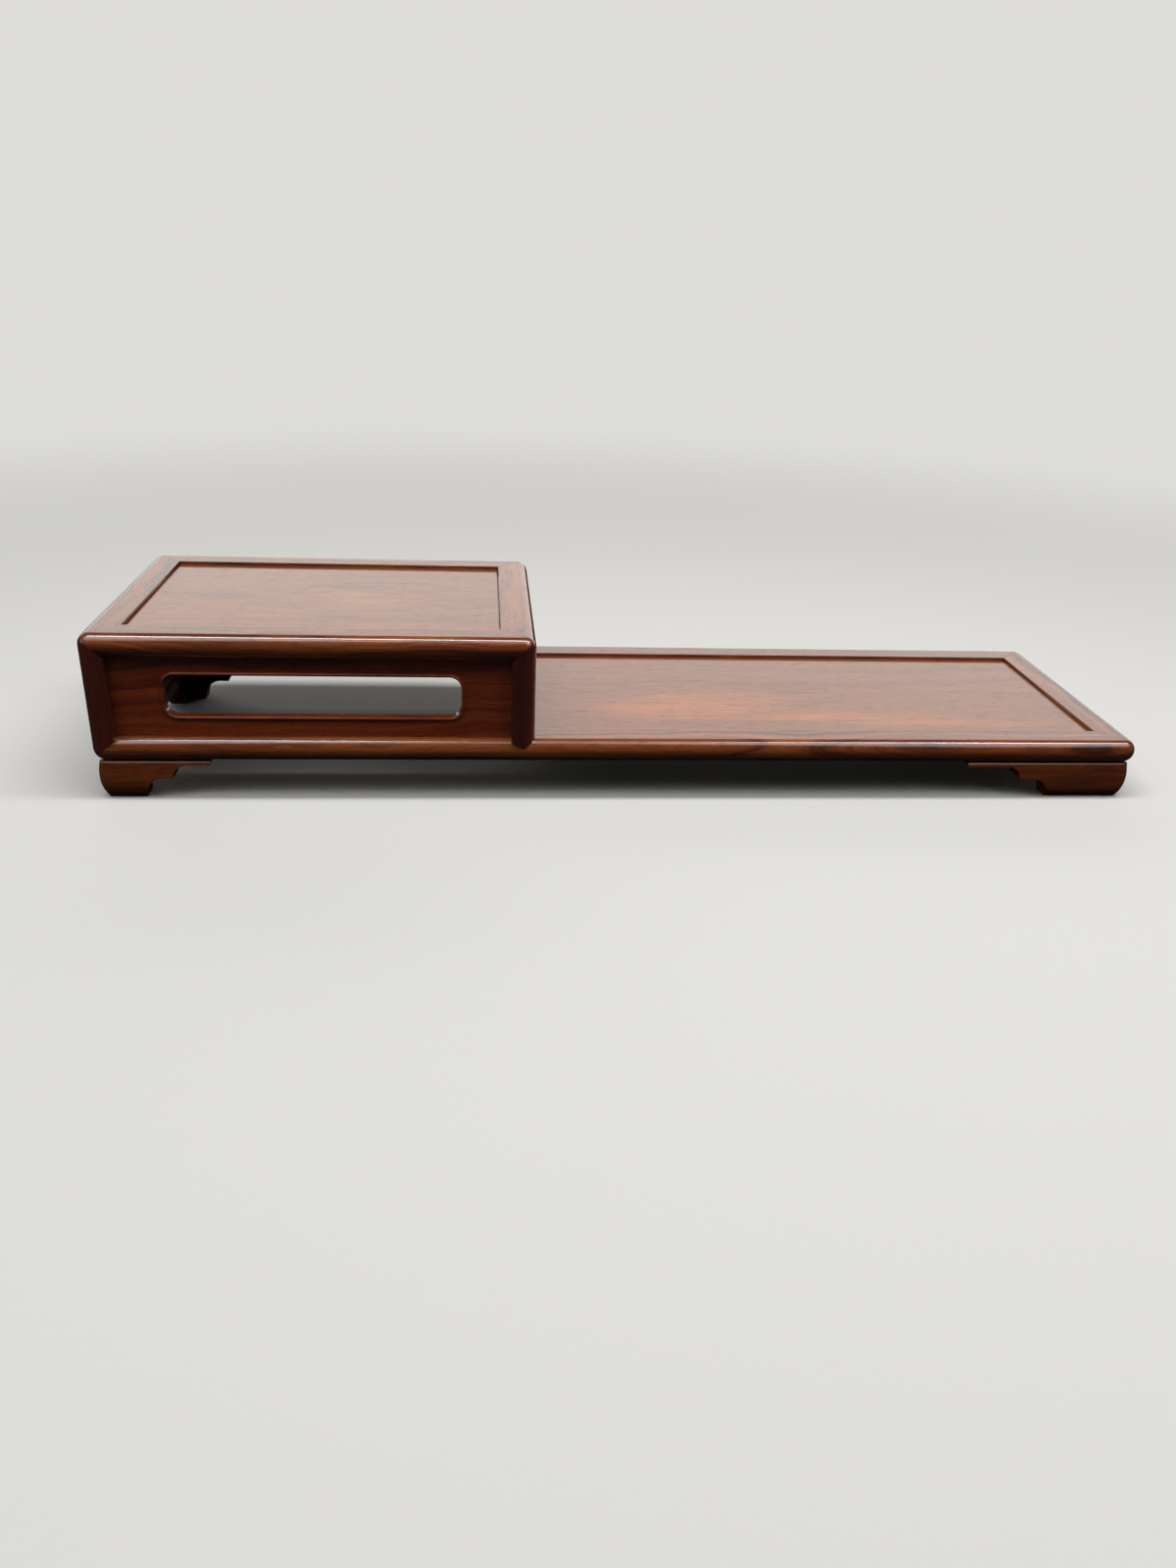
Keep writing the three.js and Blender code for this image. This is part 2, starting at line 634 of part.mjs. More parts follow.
function batten(name, middle, tierTop) {
  const base = tierTop - PANEL_RECESS - PANEL_THICKNESS - FIT_GAP;
  const half = BATTEN_WIDTH / 2;
  const tenonTop = tierTop - battenTenonTop;
  const inner = FRAME_WIDTH + FIT_GAP;
  const dovetail = prismAlongY(dovetailOutline(middle, base, 0), [inner, DEPTH - inner]);
  const bar = block(
    [middle - half, middle + half],
    [inner, DEPTH - inner],
    [base - BATTEN_THICKNESS, base],
  );
  const tenon = block(
    [middle - half / 2, middle + half / 2],
    [FRAME_WIDTH - BATTEN_TENON_LENGTH, DEPTH - FRAME_WIDTH + BATTEN_TENON_LENGTH],
    [tenonTop - BATTEN_TENON_THICKNESS, tenonTop],
  );
  addPiece(name, bar.add(dovetail).add(tenon), frameWood);
}

panel("upper_panel", [FRAME_WIDTH, UPPER_LENGTH - FRAME_WIDTH], upperTop, upperBattenPlaces);
panel("lower_panel", [UPPER_LENGTH, LENGTH - FRAME_WIDTH], lowerTop, lowerBattenPlaces);
batten("upper_batten", upperBattenPlaces[0], upperTop);
lowerBattenPlaces.forEach((middle, i) => batten(`lower_batten_${i + 1}`, middle, lowerTop));

// Posts: half-round on both outer faces, so each has a rounded outer corner and two inner arrises

// A post's section as [u, v] points from its outermost corner
function postOutline() {
  return [
    [0, 0],
    ...arc([noseHalf, NOSE_DEPTH], [noseHalf, NOSE_DEPTH], 270, 360, noseSteps),
    [STOCK, STOCK],
    ...arc([NOSE_DEPTH, noseHalf], [NOSE_DEPTH, noseHalf], 90, 180, noseSteps),
  ];
}

function boardGroovesInPost(at) {
  const shoulder = STOCK - BOARD_TONGUE_LENGTH - FIT_GAP;
  const across = [tongueOuter - FIT_GAP, tongueInner + FIT_GAP];
  const along = [shoulder, STOCK + OVERRUN];
  const heights = [lowerTop, upperBottom];
  return block(along.map(at.x), across.map(at.y), heights).add(
    block(across.map(at.x), along.map(at.y), heights),
  );
}

function leftPost(name, topCorner, bottomCorner) {
  const outline = postOutline().map(([u, v]) => [topCorner.x(u), topCorner.y(v)]);
  let post = prismUp(outline, [lowerBottom - OVERRUN, upperTop + OVERRUN]).intersect(boxBody);
  for (const end of [topCorner, bottomCorner]) {
    post = post.subtract(railShareOfPost(end)).add(postTenons(end, 0));
  }
  addPiece(name, post.subtract(boardGroovesInPost(topCorner)), postWood);
}

function rightPost(name, topCorner) {
  const outline = postOutline().map(([u, v]) => [topCorner.x(u), topCorner.y(v)]);
  const spear = prismUp(outline, [lowerTop - SPEAR_HEIGHT, lowerTop]).intersect(spearPrism(topCorner, 0));
  let post = prismUp(outline, [lowerTop, upperTop + OVERRUN]).intersect(boxBody);
  post = post.subtract(railShareOfPost(topCorner)).add(postTenons(topCorner, 0));
  post = post.add(spear).add(spearTenon(topCorner, 0));
  addPiece(name, post.subtract(boardGroovesInPost(topCorner)), postWood);
}

leftPost("front_left_post", upperFront[0], lowerFront[0]);
leftPost("back_left_post", upperBack[0], lowerBack[0]);
rightPost("front_right_post", upperFront[1]);
rightPost("back_right_post", upperBack[1]);

// Wall boards, with a tongue on each edge

function longBoard(name, at) {
  const ends = [STOCK, UPPER_LENGTH - STOCK];
  const tongue = [at.y(tongueOuter), at.y(tongueInner)];
  const out = BOARD_TONGUE_LENGTH;
  const opening = [ends[0] + OPENING_END_MARGIN, ends[1] - OPENING_END_MARGIN];
  const sill = lowerTop + OPENING_SILL;
  const head = sill + OPENING_HEIGHT;
  const steps = 8;
  const hole = roundedOutline(opening, [sill, head], OPENING_RADIUS, steps);
  const beadOutline = roundedOutline(
    [opening[0] - BEAD_WIDTH, opening[1] + BEAD_WIDTH],
    [sill - BEAD_WIDTH, head + BEAD_WIDTH],
    OPENING_RADIUS + BEAD_WIDTH,
    steps,
  );
  let board = block(ends, [at.y(wallOuter), at.y(wallInner)], [lowerTop, upperBottom]);
  board = board.add(prismAlongY(beadOutline, [at.y(wallOuter - BEAD_HEIGHT), at.y(wallOuter + 1)]));
  board = board.add(
    block([ends[0] - out, ends[1] + out], tongue, [lowerTop + END_GAP, upperBottom - END_GAP]),
  );
  board = board.add(
    block([ends[0] + END_GAP, ends[1] - END_GAP], tongue, [lowerTop - out, upperBottom + out]),
  );
  const through = [at.y(wallOuter - OVERRUN), at.y(wallInner + OVERRUN)];
  addPiece(name, board.subtract(prismAlongY(hole, through)), boardWood);
}

function sideBoard(name, at) {
  const ends = [STOCK, DEPTH - STOCK];
  const tongue = [at.x(tongueOuter), at.x(tongueInner)];
  const out = BOARD_TONGUE_LENGTH;
  const middle = [FRAME_WIDTH + END_GAP, DEPTH - FRAME_WIDTH - END_GAP];
  let board = block([at.x(wallOuter), at.x(wallInner)], ends, [lowerTop, upperBottom]);
  board = board.add(
    block(tongue, [ends[0] - out, ends[1] + out], [lowerTop + END_GAP, upperBottom - END_GAP]),
  );
  board = board.add(block(tongue, middle, [lowerTop - out, upperBottom + out]));
  addPiece(name, board, boardWood);
}

longBoard("front_board", upperFront[0]);
longBoard("back_board", upperBack[0]);
sideBoard("left_board", upperFront[0]);
sideBoard("right_board", upperFront[1]);

// Bracket feet: a stepped outline cut from a moulded block

// How far the foot's outer face stands in from the frame's, from the sole to the top
function footLevels() {
  const steps = 6;
  const shoulderStart = FOOT_HEIGHT - FOOT_SHOULDER_RADIUS;
  const bulge = new THREE.Vector2(FOOT_BULGE_INSET, FOOT_BULGE_HEIGHT);
  const belly = new THREE.QuadraticBezierCurve(
    new THREE.Vector2(FOOT_SOLE_INSET, 0),
    new THREE.Vector2(FOOT_BULGE_INSET, FOOT_BULGE_HEIGHT * BELLY_LEVEL),
    bulge,
  ).getPoints(steps);
  const flank = new THREE.QuadraticBezierCurve(
    bulge,
    new THREE.Vector2(FOOT_BULGE_INSET, (FOOT_BULGE_HEIGHT + shoulderStart) / 2),
    new THREE.Vector2(FOOT_SHOULDER_INSET, shoulderStart),
  ).getPoints(steps);
  const shoulder = new THREE.EllipseCurve(
    FOOT_SHOULDER_INSET + FOOT_SHOULDER_RADIUS,
    shoulderStart,
    FOOT_SHOULDER_RADIUS,
    FOOT_SHOULDER_RADIUS,
    Math.PI,
    Math.PI / 2,
    true,
  ).getPoints(steps);
  const points = [...belly, ...flank.slice(1), ...shoulder.slice(1)];
  return points.map(({ x, y }) => ({ z: y, inset: x }));
}

const footBody = roundedBody([0, LENGTH], [0, DEPTH], footLevels(), (inset) => CORNER_RADIUS - inset);

// An arm's face outline as [distance from the corner, height]: toe, cove, step, small cove, tongue
function armOutline(toe, reach) {
  const tongueHeight = FOOT_HEIGHT - TONGUE_THICKNESS;
  const coveEnd = toe + COVE_RADIUS;
  const stepEnd = coveEnd + (reach - coveEnd) * STEP_SHARE;
  const smallCove = tongueHeight - STEP_HEIGHT;
  return [
    [-OVERRUN, -OVERRUN],
    [toe, -OVERRUN],
    ...arc([coveEnd, 0], [COVE_RADIUS, STEP_HEIGHT], 180, 90, 6),
    ...arc([stepEnd + smallCove, STEP_HEIGHT], [smallCove, smallCove], 180, 90, 5),
    ...arc([reach - TONGUE_THICKNESS, FOOT_HEIGHT], [TONGUE_THICKNESS, TONGUE_THICKNESS], 270, 360, 4),
    [reach, FOOT_HEIGHT + OVERRUN],
    [-OVERRUN, FOOT_HEIGHT + OVERRUN],
  ];
}

function footMitre(at, isLong) {
  return beyondPlanMitre(at, isLong, FOOT_DEPTH, [-OVERRUN, FOOT_HEIGHT + OVERRUN]);
}

for (const { side, corners, toe, reach } of feet) {
  corners.forEach((at, i) => {
    const end = i === 0 ? "front" : "back";
    const long = prismAlongY(
      armOutline(toe, reach).map(([u, z]) => [at.x(u), z]),
      [at.y(-OVERRUN), at.y(FOOT_DEPTH)],
    );
    const short = prismAlongX(
      armOutline(SIDE_TOE, SIDE_REACH).map(([v, z]) => [at.y(v), z]),
      [at.x(-OVERRUN), at.x(FOOT_DEPTH)],
    );
    const longArm = long.intersect(footBody).subtract(footMitre(at, true));
    const sideArm = short.intersect(footBody).subtract(footMitre(at, false));
    addPiece(`${end}_${side}_foot_long_arm`, longArm.subtract(allDowelHoles), footWood);
    addPiece(`${end}_${side}_foot_side_arm`, sideArm.subtract(allDowelHoles), footWood);
    dowelPlaces(toe).forEach((u, n) => {
      const pin = dowelAt(at.x(u), at.y(DOWEL_SETBACK), 0);
      addPiece(`${end}_${side}_long_dowel_${n + 1}`, pin, dowelWood);
    });
    dowelPlaces(SIDE_TOE).forEach((v, n) => {
      const pin = dowelAt(at.x(DOWEL_SETBACK), at.y(v), 0);
      addPiece(`${end}_${side}_side_dowel_${n + 1}`, pin, dowelWood);
    });
  });
}

export default stand;
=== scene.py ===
# %% [markdown]
# # A two-tier hardwood display stand
#
# The real object is a low stand of dark hardwood. A long tier stands on four bracket feet, and a second
# tier, shaped like a shallow box, rises over its left end. Each tier has a mitred frame round a sunken
# panel.
#
# Every piece of wood is modelled here on its own, the way a joiner would make it: start from a block,
# round its edges, saw it to length, then cut its grooves. The finishes come after the shapes.
#
# The model of the stand is loaded first. It gives the size and place of every piece, and the
# pieces made here take the place of its plainer ones.

import math
from contextlib import contextmanager

import bmesh
import bpy
from mathutils import Matrix, Vector


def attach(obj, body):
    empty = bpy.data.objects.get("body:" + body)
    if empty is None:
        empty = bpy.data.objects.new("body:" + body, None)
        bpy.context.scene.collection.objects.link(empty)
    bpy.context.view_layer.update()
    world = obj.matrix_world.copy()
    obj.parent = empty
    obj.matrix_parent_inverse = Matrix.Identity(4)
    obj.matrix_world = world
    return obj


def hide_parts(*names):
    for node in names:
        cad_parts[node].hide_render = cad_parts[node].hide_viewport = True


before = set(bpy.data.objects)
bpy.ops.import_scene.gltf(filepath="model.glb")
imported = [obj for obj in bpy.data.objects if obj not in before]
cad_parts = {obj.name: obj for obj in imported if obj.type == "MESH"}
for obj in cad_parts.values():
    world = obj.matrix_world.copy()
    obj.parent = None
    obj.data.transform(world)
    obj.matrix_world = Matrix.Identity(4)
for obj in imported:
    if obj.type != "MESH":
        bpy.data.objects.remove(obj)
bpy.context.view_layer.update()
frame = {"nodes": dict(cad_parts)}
print(len(frame["nodes"]), "pieces in the checked model")

# %% [markdown]
# ## Sizes
#
# Joiners measure from a corner, so every size below is in millimetres from the stand's front left
# corner on the floor: x to the right, y to the back, z up. Blender wants metres from the middle of the
# stand, and `at` turns one into the other. `in_mm` goes the other way, for picking edges by their
# place.
#
# `HAIRLINE` is the gap left open at a mitre. `EASE` is the room that a groove leaves on each side of
# its tongue. `OVERRUN` is how far a cutter reaches past the wood.

# %% Sizes of the stand
MM = 0.001
LENGTH = 450
DEPTH = 130
UPPER_LENGTH = 182
FEET = 17.2
STOCK = 10
LOW_TOP = FEET + STOCK
WALL = 34.5
HIGH_BOTTOM = LOW_TOP + WALL
HIGH_TOP = HIGH_BOTTOM + STOCK
FRAME_WIDTH = 14.5
NOSE = 4.5
CORNER = 5
ARRIS = 1.2
PANEL_SINK = 1.5
PANEL_THICKNESS = 4
WALL_OUT = 4.8
WALL_IN = 8.3
TONGUE_OUT = 5.3
TONGUE_IN = 7.3
TONGUE_LENGTH = 1.8
HAIRLINE = 0.07
EASE = 0.1
OVERRUN = 4
STRETCH = STOCK / (2 * NOSE)
CORNER_STEPS = 8
NOSE_STEPS = 10
ARRIS_STEPS = 5


def at(x, y, z):
    return Vector(((x - LENGTH / 2) * MM, (y - DEPTH / 2) * MM, z * MM))


def in_mm(point):
    return Vector((point.x / MM + LENGTH / 2, point.y / MM + DEPTH / 2, point.z / MM))


print("the stand is", LENGTH, "by", DEPTH, "by", HIGH_TOP, "mm")

# %% [markdown]
# ## The workbench
#
# A few small tools do nearly all the work:
#
# - `block` adds a cube at its size and place, and `copy_of` gives a piece a twin with its own mesh.
# - `selected` opens a piece in edit mode with only the parts selected that pass a test, so that an operator
#   acts on those alone.
# - `saw` cuts on a plane and closes the cut. `score` only draws the line round the piece.
# - `pull` moves a strip of one face out or in, and makes a tongue or a groove.
# - `round_edges` bevels the edges that pass a test.
# - `carve` takes one solid out of another, or joins the two.
# - `mirrored` turns a copy into the matching piece on the other side of the stand.
#
# A mirror turns a mesh inside out, so its normals are worked out again afterwards.

# %% Blocks, copies and selections
CLOSE = 0.02
ON_PLANE = 1e-7
WELD = 0.01 * MM


def only(piece):
    bpy.ops.object.select_all(action="DESELECT")
    piece.select_set(True)
    bpy.context.view_layer.objects.active = piece


def block(name, low, high):
    bpy.ops.object.select_all(action="DESELECT")
    size = at(*high) - at(*low)
    bpy.ops.mesh.primitive_cube_add(size=1, location=at(*low) + size / 2, scale=size)
    bpy.ops.object.transform_apply(location=True, rotation=True, scale=True)
    piece = bpy.context.object
    piece.name = name
    return piece


def copy_of(piece, name):
    only(piece)
    bpy.ops.object.duplicate()
    twin = bpy.context.object
    twin.name = name
    return twin


@contextmanager
def selected(piece, kind, test):
    only(piece)
    bpy.ops.object.mode_set(mode="EDIT")
    bpy.ops.mesh.select_mode(type=kind)
    bpy.ops.mesh.select_all(action="DESELECT")
    mesh = bmesh.from_edit_mesh(piece.data)
    parts = {"VERT": mesh.verts, "EDGE": mesh.edges, "FACE": mesh.faces}[kind]
    chosen = []
    for part in parts:
        corners = [part.co] if kind == "VERT" else [v.co for v in part.verts]
        if test([in_mm(c) for c in corners]):
            chosen.append(part)
    for part in chosen:
        part.select_set(True)
    bmesh.update_edit_mesh(piece.data)
    yield len(chosen)
    bpy.ops.object.mode_set(mode="OBJECT")


def everything(points):
    return True


def near(value, target):
    return abs(value - target) < CLOSE


print("two places are the same within", CLOSE, "mm")

# %% Sawing, carving and mirroring


def saw(piece, point, away):
    with selected(piece, "FACE", everything):
        bpy.ops.mesh.bisect(
            plane_co=at(*point),
            plane_no=Vector(away).normalized(),
            clear_outer=True,
            threshold=ON_PLANE,
        )
        bpy.ops.mesh.select_all(action="SELECT")
        bpy.ops.mesh.fill_holes(sides=0)
        bpy.ops.mesh.normals_make_consistent(inside=False)


def score(piece, place, axis=2):
    """Draws a line round a piece, as with a marking gauge, without cutting anything off."""
    point = [0, 0, 0]
    facing = [0, 0, 0]
    point[axis] = place
    facing[axis] = 1
    with selected(piece, "FACE", everything):
        bpy.ops.mesh.bisect(plane_co=at(*point), plane_no=facing, threshold=ON_PLANE)


def pull(piece, side, place, across, span, by):
    """Pulls out, or pushes in, the strip of one side face that lies in a span across it."""

    def strip(points):
        inside = all(span[0] - CLOSE < p[across] < span[1] + CLOSE for p in points)
        return inside and all(near(p[side], place) for p in points)

    move = Vector((0, 0, 0))
    move[side] = by * MM
    with selected(piece, "FACE", strip):
        bpy.ops.mesh.extrude_region_move(TRANSFORM_OT_translate={"value": move})


def round_edges(piece, test, radius, steps):
    with selected(piece, "EDGE", test) as count:
        bpy.ops.mesh.bevel(offset=radius * MM, segments=steps, affect="EDGES")
    return count


def carve(piece, cutter, operation="DIFFERENCE"):
    only(piece)
    bpy.ops.object.modifier_add(type="BOOLEAN")
    cut = piece.modifiers[-1]
    cut.operation = operation
    cut.object = cutter
    cut.solver = "EXACT"
    bpy.ops.object.modifier_apply(modifier=cut.name)
    bpy.data.objects.remove(cutter)


def mirrored(piece, name, axis="Y", about=(LENGTH / 2, DEPTH / 2, 0)):
    twin = copy_of(piece, name)
    with selected(twin, "VERT", everything):
        bpy.ops.transform.mirror(
            orient_type="GLOBAL",
            constraint_axis=(axis == "X", axis == "Y", axis == "Z"),
            center_override=at(*about),
        )
        bpy.ops.mesh.select_all(action="SELECT")
        bpy.ops.mesh.normals_make_consistent(inside=False)
    return twin


print("the workbench is ready")

# %% [markdown]
# ## Frame stock
#
# Both frames are rounded all the way round: the outer faces are half-round, and the corners are like
# balls. Bending four rails to meet in a ball would be hard. Instead, one slab is rounded as a whole,
# and the rails are sawn out of copies of it, so their curves meet exactly at the mitres.
#
# The half-round is a little flatter than a true circle: 4.5 mm deep on 10 mm stock. So the slab is made
# 9 mm thick, rounded by 4.5 mm from both sides, and then stretched to 10 mm. The two roundings stop a
# touch short of each other, and the points that nearly meet are merged.

# %% Rounded slabs
JUST_UNDER_NOSE = NOSE - 0.002


def upright(points):
    a, b = points
    return near(a.x, b.x) and near(a.y, b.y) and abs(a.z - b.z) > 1


def level_at(*heights):
    def test(points):
        return any(all(near(p.z, z) for p in points) for z in heights)

    return test


def rounded_slab(name, length, bottom):
    middle = bottom + STOCK / 2
    slab = block(name, (0, 0, middle - NOSE), (length, DEPTH, middle + NOSE))
    round_edges(slab, upright, CORNER, CORNER_STEPS)
    round_edges(slab, level_at(middle - NOSE, middle + NOSE), JUST_UNDER_NOSE, NOSE_STEPS)
    with selected(slab, "VERT", everything):
        bpy.ops.mesh.remove_doubles(threshold=WELD)
        bpy.ops.transform.resize(value=(1, 1, STRETCH), center_override=at(0, 0, middle))
    return slab


low_slab = rounded_slab("low_slab", LENGTH, FEET)
high_slab = rounded_slab("high_slab", UPPER_LENGTH, HIGH_BOTTOM)
print("slab faces:", len(low_slab.data.polygons), len(high_slab.data.polygons))

# %% [markdown]
# ## Rails
#
# A rail is the slab sawn along its inner edge. That edge is then softened, and a groove is sunk into
# the inner face for the panel's tongue. The groove is made by scoring two lines along the face and
# pushing the strip between them in. Then come the mitres: one in plan, where two rails meet, and one on
# the face, where a post comes between them. A hairline is left open at each mitre, as on the real
# stand.
#
# Rails and posts round the raised tier's walls also get a narrow groove for the wall board's tongue.

# %% Rail tools
PANEL_TONGUE_RISE = 1
PANEL_TONGUE = 2
PANEL_GROOVE = 4.6


def sink_groove(piece, axis, inner, inward, top):
    """Sinks the groove that takes a panel's tongue."""
    low = top - PANEL_SINK - PANEL_THICKNESS + PANEL_TONGUE_RISE - EASE
    span = (low, low + PANEL_TONGUE + 2 * EASE)
    score(piece, span[0])
    score(piece, span[1])
    pull(piece, axis, inner, 2, span, inward * PANEL_GROOVE)


def wall_groove(piece, wall):
    """Cuts the groove that takes a wall board's tongue."""
    reach = TONGUE_LENGTH + EASE
    low, high = LOW_TOP - reach, HIGH_BOTTOM + reach
    out, back = TONGUE_OUT - EASE, TONGUE_IN + EASE
    near_end, far_x, far_y = STOCK - reach, UPPER_LENGTH - STOCK + reach, DEPTH - STOCK + reach
    cutters = {
        "front": ((near_end, out, low), (far_x, back, high)),
        "left": ((out, near_end, low), (back, far_y, high)),
        "right": ((UPPER_LENGTH - back, near_end, low), (UPPER_LENGTH - out, far_y, high)),
    }
    carve(piece, block("wall_groove", *cutters[wall]))


def long_rail(name, slab, length, bottom, post_corners):
    top = bottom + STOCK
    rail = copy_of(slab, name)
    saw(rail, (0, FRAME_WIDTH, 0), (0, 1, 0))

    def inner_edge(points):
        return all(near(p.y, FRAME_WIDTH) and near(p.z, top) for p in points)

    round_edges(rail, inner_edge, ARRIS, ARRIS_STEPS)
    sink_groove(rail, 1, FRAME_WIDTH, -1, top)
    saw(rail, (HAIRLINE, 0, 0), (-1, 1, 0))
    saw(rail, (length - HAIRLINE, 0, 0), (1, 1, 0))
    for x, outward, corner_height, up in post_corners:
        saw(rail, (x - outward * HAIRLINE, 0, corner_height), (outward, 0, up))
    return rail


def side_rail(name, slab, x, outward, bottom, post_up):
    top = bottom + STOCK
    inner = x - outward * FRAME_WIDTH
    rail = copy_of(slab, name)
    saw(rail, (inner, 0, 0), (-outward, 0, 0))

    def inner_edge(points):
        return all(near(p.x, inner) and near(p.z, top) for p in points)

    round_edges(rail, inner_edge, ARRIS, ARRIS_STEPS)
    sink_groove(rail, 0, inner, outward, top)
    saw(rail, (x, HAIRLINE, 0), (-outward, -1, 0))
    saw(rail, (x, DEPTH - HAIRLINE, 0), (-outward, 1, 0))
    if post_up:
        height = top if post_up < 0 else bottom
        saw(rail, (0, HAIRLINE, height), (0, -1, post_up))
        saw(rail, (0, DEPTH - HAIRLINE, height), (0, 1, post_up))
    return rail


print("a panel groove is", PANEL_GROOVE, "mm deep")

# %% Upper frame
high_corners = [(0, -1, HIGH_TOP, -1), (UPPER_LENGTH, 1, HIGH_TOP, -1)]
pieces = {}
pieces["upper_front_rail"] = long_rail(
    "upper_front_rail_wood", high_slab, UPPER_LENGTH, HIGH_BOTTOM, high_corners
)
pieces["upper_left_rail"] = side_rail(
    "upper_left_rail_wood", high_slab, 0, -1, HIGH_BOTTOM, -1
)
pieces["upper_right_rail"] = side_rail(
    "upper_right_rail_wood", high_slab, UPPER_LENGTH, 1, HIGH_BOTTOM, -1
)
wall_groove(pieces["upper_front_rail"], "front")
wall_groove(pieces["upper_left_rail"], "left")
wall_groove(pieces["upper_right_rail"], "right")
pieces["upper_back_rail"] = mirrored(pieces["upper_front_rail"], "upper_back_rail_wood")
print("upper frame:", {k: len(v.data.polygons) for k, v in pieces.items()})

# %% [markdown]
# ## Posts
#
# A post is half-round on its two outer faces, with a ball corner where it meets the rails. It is sawn
# from a rounded block as big as the whole raised tier, so its corner matches the frames. Then the two
# inner edges are rounded to make the half-rounds, which are stretched like the slabs, and the ends are
# mitred.
#
# The right-hand posts end below in a point, like a spear, let into a notch in the low tier's long rail.

# %% The rounded block and the post stock


def rounded_tier():
    tier = block("tier", (0, 0, FEET), (UPPER_LENGTH, DEPTH, HIGH_TOP))
    round_edges(tier, upright, CORNER, CORNER_STEPS)
    round_edges(tier, level_at(FEET, HIGH_TOP), NOSE, NOSE_STEPS)
    for end in (HIGH_TOP, FEET):
        with selected(tier, "VERT", lambda ps: abs(ps[0].z - end) < NOSE + EASE):
            bpy.ops.transform.resize(value=(1, 1, STRETCH), center_override=at(0, 0, end))
    return tier


def post_stock(name, tier, x, outward):
    inner = x - outward * STOCK
    post = copy_of(tier, name)
    saw(post, (inner, 0, 0), (-outward, 0, 0))
    saw(post, (0, STOCK, 0), (0, 1, 0))
    with selected(post, "VERT", everything):
        bpy.ops.mesh.remove_doubles(threshold=WELD / 10)
    for edge_x, edge_y in ((inner, 0), (x, STOCK)):

        def inner_edge(points):
            return upright(points) and all(near(p.x, edge_x) and near(p.y, edge_y) for p in points)

        round_edges(post, inner_edge, NOSE, NOSE_STEPS)
    rounded = STOCK - NOSE - EASE
    with selected(post, "VERT", lambda ps: abs(ps[0].x - x) > rounded):
        bpy.ops.transform.resize(value=(STRETCH, 1, 1), center_override=at(inner, 0, 0))
    with selected(post, "VERT", lambda ps: ps[0].y > rounded):
        bpy.ops.transform.resize(value=(1, STRETCH, 1), center_override=at(0, STOCK, 0))
    with selected(post, "VERT", everything):
        bpy.ops.mesh.remove_doubles(threshold=WELD)
    saw(post, (x, 0, HIGH_TOP - HAIRLINE), (-outward, 0, 1))
    saw(post, (0, 0, HIGH_TOP - HAIRLINE), (0, 1, 1))
    return post


tier = rounded_tier()
print("post stock is cut from", len(tier.data.polygons), "faces")

# %% Left posts
left_post = post_stock("front_left_post_wood", tier, 0, -1)
saw(left_post, (0, 0, FEET + HAIRLINE), (1, 0, -1))
saw(left_post, (0, 0, FEET + HAIRLINE), (0, 1, -1))
wall_groove(left_post, "front")
wall_groove(left_post, "left")
pieces["front_left_post"] = left_post
pieces["back_left_post"] = mirrored(left_post, "back_left_post_wood")
print("left post faces:", len(left_post.data.polygons))

# %% [markdown]
# Two slanting saw cuts make the spear, and its tip is softened. Behind it the post is cut square, so
# that it stands on the rail. The notch in the rail is cut with a block of the same shape, a hair
# larger.

# %% The spear and the right posts
SPEAR_MIDDLE = UPPER_LENGTH - STOCK / 2
SPEAR_HEIGHT = 3.4
SPEAR_DEPTH = 4.8
SPEAR_TIP = 1.1
SPEAR_LOW = LOW_TOP - SPEAR_HEIGHT
NOTCH_LOW = SPEAR_LOW - 0.12


def point_the_end(piece, low):
    for side in (-1, 1):
        saw(piece, (SPEAR_MIDDLE, 0, low), (side * SPEAR_HEIGHT, 0, -STOCK / 2))

    def tip(points):
        return all(near(p.x, SPEAR_MIDDLE) and near(p.z, low) for p in points)

    return round_edges(piece, tip, SPEAR_TIP, steps=4)


right_post = post_stock("front_right_post_wood", tier, UPPER_LENGTH, 1)
tips = point_the_end(right_post, SPEAR_LOW)
waste = block(
    "waste",
    (SPEAR_MIDDLE - 3 * OVERRUN, SPEAR_DEPTH, FEET - OVERRUN / 2),
    (UPPER_LENGTH + 2 * OVERRUN, STOCK + OVERRUN, LOW_TOP),
)
carve(right_post, waste)
wall_groove(right_post, "front")
wall_groove(right_post, "right")
pieces["front_right_post"] = right_post
pieces["back_right_post"] = mirrored(right_post, "back_right_post_wood")
bpy.data.objects.remove(tier)
print("right post faces:", len(right_post.data.polygons), "tip edges", tips)

# %% [markdown]
# ## Lower frame
#
# The low frame's rails are made the same way. Its left corners meet the posts upside down, and its
# front and back rails are notched for the spears. A cross rail under the raised tier's right wall
# carries that wall and the left edge of the low panel.

# %% Lower rails
low_corners = [(0, -1, FEET, 1)]
pieces["lower_front_rail"] = long_rail(
    "lower_front_rail_wood", low_slab, LENGTH, FEET, low_corners
)
notch = block(
    "notch",
    (SPEAR_MIDDLE - STOCK / 2 - EASE, -STOCK / 2, FEET),
    (SPEAR_MIDDLE + STOCK / 2 + EASE, SPEAR_DEPTH + EASE, LOW_TOP + OVERRUN / 2),
)
point_the_end(notch, NOTCH_LOW)
carve(pieces["lower_front_rail"], notch)
wall_groove(pieces["lower_front_rail"], "front")
pieces["lower_back_rail"] = mirrored(pieces["lower_front_rail"], "lower_back_rail_wood")
pieces["lower_left_rail"] = side_rail("lower_left_rail_wood", low_slab, 0, -1, FEET, 1)
wall_groove(pieces["lower_left_rail"], "left")
pieces["lower_right_rail"] = side_rail(
    "lower_right_rail_wood", low_slab, LENGTH, 1, FEET, 0
)
for slab in (low_slab, high_slab):
    bpy.data.objects.remove(slab)
